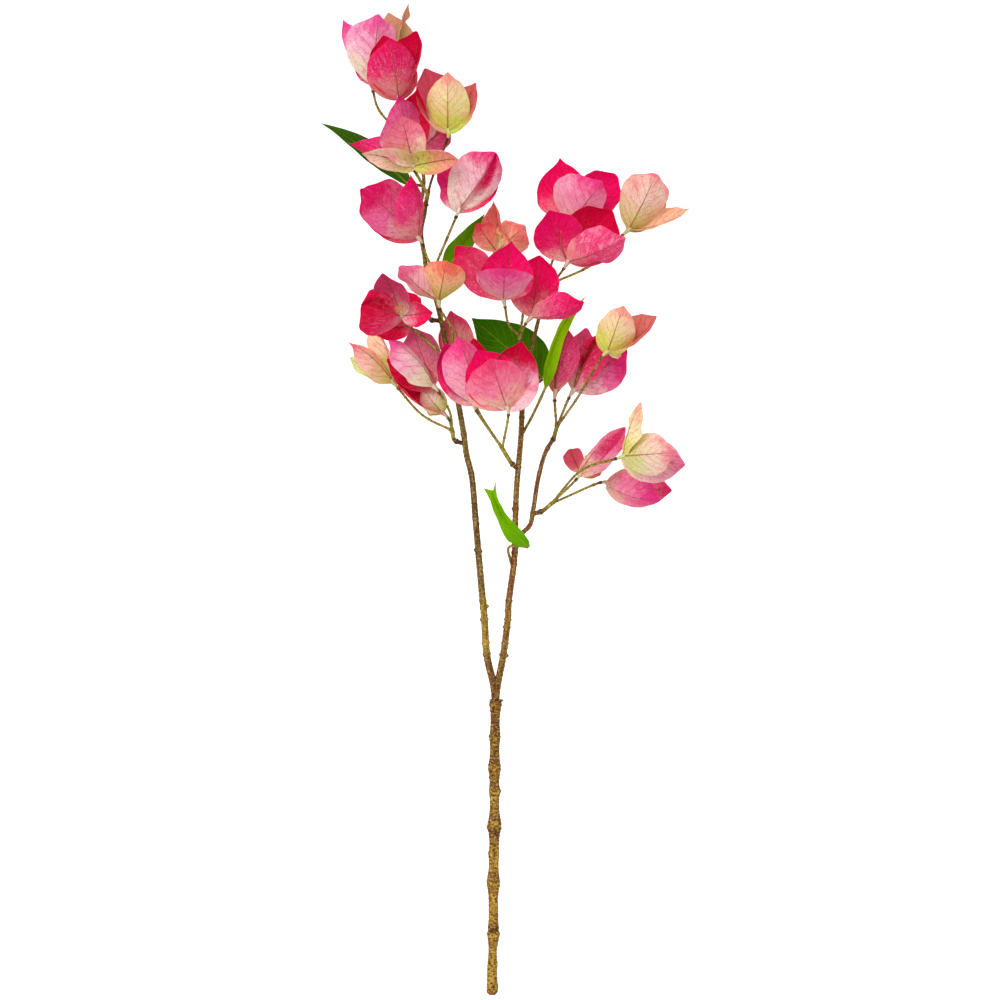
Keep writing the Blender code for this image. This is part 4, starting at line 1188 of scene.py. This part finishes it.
leaf_pile = Pile("green_leaves")
stalk_shade = between((0, TWIG_BROWN), (12, paint(120, 110, 40)), (40, TWIG_GREEN))


def fishtail(u, x):
    return np.where(x < 0, np.interp(u, TAIL_PLACES, TAIL_LEFT), np.interp(u, TAIL_PLACES, TAIL_RIGHT))


for leaf in LEAVES:
    path = Path([leaf.start, *leaf.via, leaf.base])
    relief = twig_relief(knobbed(PEDICEL_RADIUS, (5.5, 0.35, 1.5)), 0.1)
    lengths = steps(0, path.length, TWIG_STEP)
    sweep(twig_pile, path, lengths, relief, PEDICEL_SIDES, stalk_shade, RNG.uniform(0, 100))
    press_blade(leaf_pile, leaf.base, leaf, leaf.length, leaf.width, LEAF_PRESS, CUTS["leaf"], leaf.bow,
                fishtail if leaf.name == "curled_leaf" else None, **colours_of(LEAF_GREENS[leaf.name]))
print("leaves hold", leaf_pile.count, "points")

# %% [markdown]
# ## Green cloth
#
# The same printed cloth, with its own plan: the side veins of a leaf are pale and nearly straight, and the
# greens darken in soft clouds. It is a little smoother than the bracts, so that it catches more light.


# %% Leaf finish
def leaf_finish():
    finish = Finish("printed_leaf", roughness=0.5, specular=0.04)
    flat = finish.mark("flat")
    over, _, _ = finish.parts(flat)
    across, along, inside = finish.parts(finish.mark("spread"))
    cloud = finish.noise(flat, 0.07, 0.05, 3.0, 0.6)
    fleck = finish.noise(flat, 0.8, 0.8, 3.0, 0.6)
    run = along + (cloud - 0.5) * 0.6
    side_vein = side_veins(across, along - abs(across) * 0.3, LEAF_PRESS.veins, 0.075, 0.7)
    net = finish.net(flat, 0.5, 0.5, 0.08)
    midrib = rib(over, along)
    finish.coat(finish.mark("foot"),
                (run.fade(0.05, 0.45), finish.mark("middle")),
                (run.fade(0.5, 0.95), finish.mark("tip")),
                (inside * 0.25, finish.mark("heart")),
                (cloud.fade(0.5, 0.7) * 0.3, (34, 74, 4)),
                (net * 0.12, (140, 186, 20)),
                (side_vein * 0.34, (130, 180, 16)),
                (midrib * 0.55, (150, 190, 40)))
    finish.feed("Roughness", 0.42 + fleck * 0.25)
    finish.bump(fleck * 0.3 - side_vein * 0.4 - net * 0.15 - midrib * 0.6, 0.4)
    return finish.material


green_cloth = leaf_finish()
print("the leaf finish has", len(green_cloth.node_tree.nodes), "nodes")

# %% [markdown]
# ## Calyx and stamen finishes
#
# The calyx is a pale, slightly waxy cup with fine green veins. Both it and the stamens take the colour dealt
# to each point, with a little noise, so that they don't read as bare plastic.


# %% Soft plastic finish
def waxy_finish(name, vein):
    finish = Finish(name, roughness=0.5, specular=0.5)
    grain = finish.mark("grain")
    cloud = finish.noise(grain, 0.4, 0.3, 3.0, 0.6)
    line = finish.noise(grain, 2.2, 0.15)
    finish.coat(finish.mark("tint"),
                (cloud.fade(0.4, 0.7) * 0.3, vein),
                (line.fade(0.5, 0.7) * 0.35, vein))
    finish.feed("Roughness", 0.4 + cloud * 0.3)
    finish.bump(line + cloud * 0.5, 0.2)
    return finish.material


calyx_wax = waxy_finish("calyx_wax", (160, 160, 104))
stamen_wax = waxy_finish("stamen_wax", (232, 130, 20))
print("waxes:", calyx_wax.name, "and", stamen_wax.name)

# %% [markdown]
# ## From piles to pieces
#
# Each pile becomes a piece and stands for its solids.

# %% Make the pieces
bloom_nodes = [bloom.name for bloom in BLOOMS]
stem_pile.make(stem_bark, "stem", ["main_stem"])
for tint, pile in bough_piles.items():
    pile.make(bough_bark, tint, [bough.name for bough in BOUGHS if bough.tint == tint])
twig_pile.make(twig_bark, "sleeve", [f"{sprig.name}_sprig" for sprig in SPRIGS])
calyx_pile.make(calyx_wax, "cream", bloom_nodes)
stamen_pile.make(stamen_wax, "cream", bloom_nodes)
for tint, pile in bract_piles.items():
    pile.make(cloth, tint, [bloom.name for bloom in BLOOMS if bloom.tint == tint])
leaf_pile.make(green_cloth, "leaf", [leaf.name for leaf in LEAVES])

# %% [markdown]
# ## Floor, light and camera
#
# The spray lies on a plain pale surface under even studio light, so most of the light comes from all round,
# with one broad lamp from the upper left to give the cups their shade. The camera looks straight down. Its
# view has no perspective, as a long lens from far away would have almost none.

# %% Floor
FLOOR_SIZE, FLOOR_GLOW = 8.0, 0.9
WHITE = (1.0, 1.0, 1.0, 1.0)
scene = bpy.context.scene
scene.view_settings.view_transform = "Standard"
corners = [(x * FLOOR_SIZE / 2, y * FLOOR_SIZE / 2, 0) for x, y in ((-1, -1), (1, -1), (1, 1), (-1, 1))]
ground = bpy.data.meshes.new("floor")
ground.from_pydata(corners, [], [(0, 1, 2, 3)])
floor = bpy.data.objects.new("floor", ground)
scene.collection.objects.link(floor)
paper = Finish("pale_floor", roughness=0.9, specular=0.1)
cloud = paper.noise(paper.node("ShaderNodeTexCoord", {}, {}, out="Object"), 3.0, 3.0)
paper.coat((186, 186, 186), (cloud * 0.1, (180, 180, 180)))
paper.fix("Emission Color", WHITE)
paper.fix("Emission Strength", FLOOR_GLOW)
ground.materials.append(paper.material)
print("the floor is", FLOOR_SIZE, "m wide")

# %% Sky and lamp
SKY_STRENGTH, LAMP_STRENGTH = 0.8, 1.5
sky = bpy.data.worlds.new("studio")
sky.use_nodes = True
background = sky.node_tree.nodes["Background"]
background.inputs["Color"].default_value = WHITE
background.inputs["Strength"].default_value = SKY_STRENGTH
scene.world = sky
sun = bpy.data.lights.new("key", "SUN")
sun.energy, sun.angle = LAMP_STRENGTH, math.radians(35)
lamp = bpy.data.objects.new("key", sun)
lamp.rotation_euler = (math.radians(-26), math.radians(-22), 0)
scene.collection.objects.link(lamp)
print("the lamp's disc is", round(math.degrees(sun.angle)), "degrees wide")

# %% Camera
IMAGE_SPAN = 0.9
IMAGE_MIDDLE = np.array([0.0, 445.5, 0.0]) * MM + SHIFT
CAMERA_HEIGHT = 2.0
lens = bpy.data.cameras.new("overhead")
lens.type = "ORTHO"
lens.ortho_scale = IMAGE_SPAN
camera = bpy.data.objects.new("overhead", lens)
camera.location = (IMAGE_MIDDLE[0], IMAGE_MIDDLE[1], CAMERA_HEIGHT)
scene.collection.objects.link(camera)
scene.camera = camera
print("the camera sees", IMAGE_SPAN, "m")
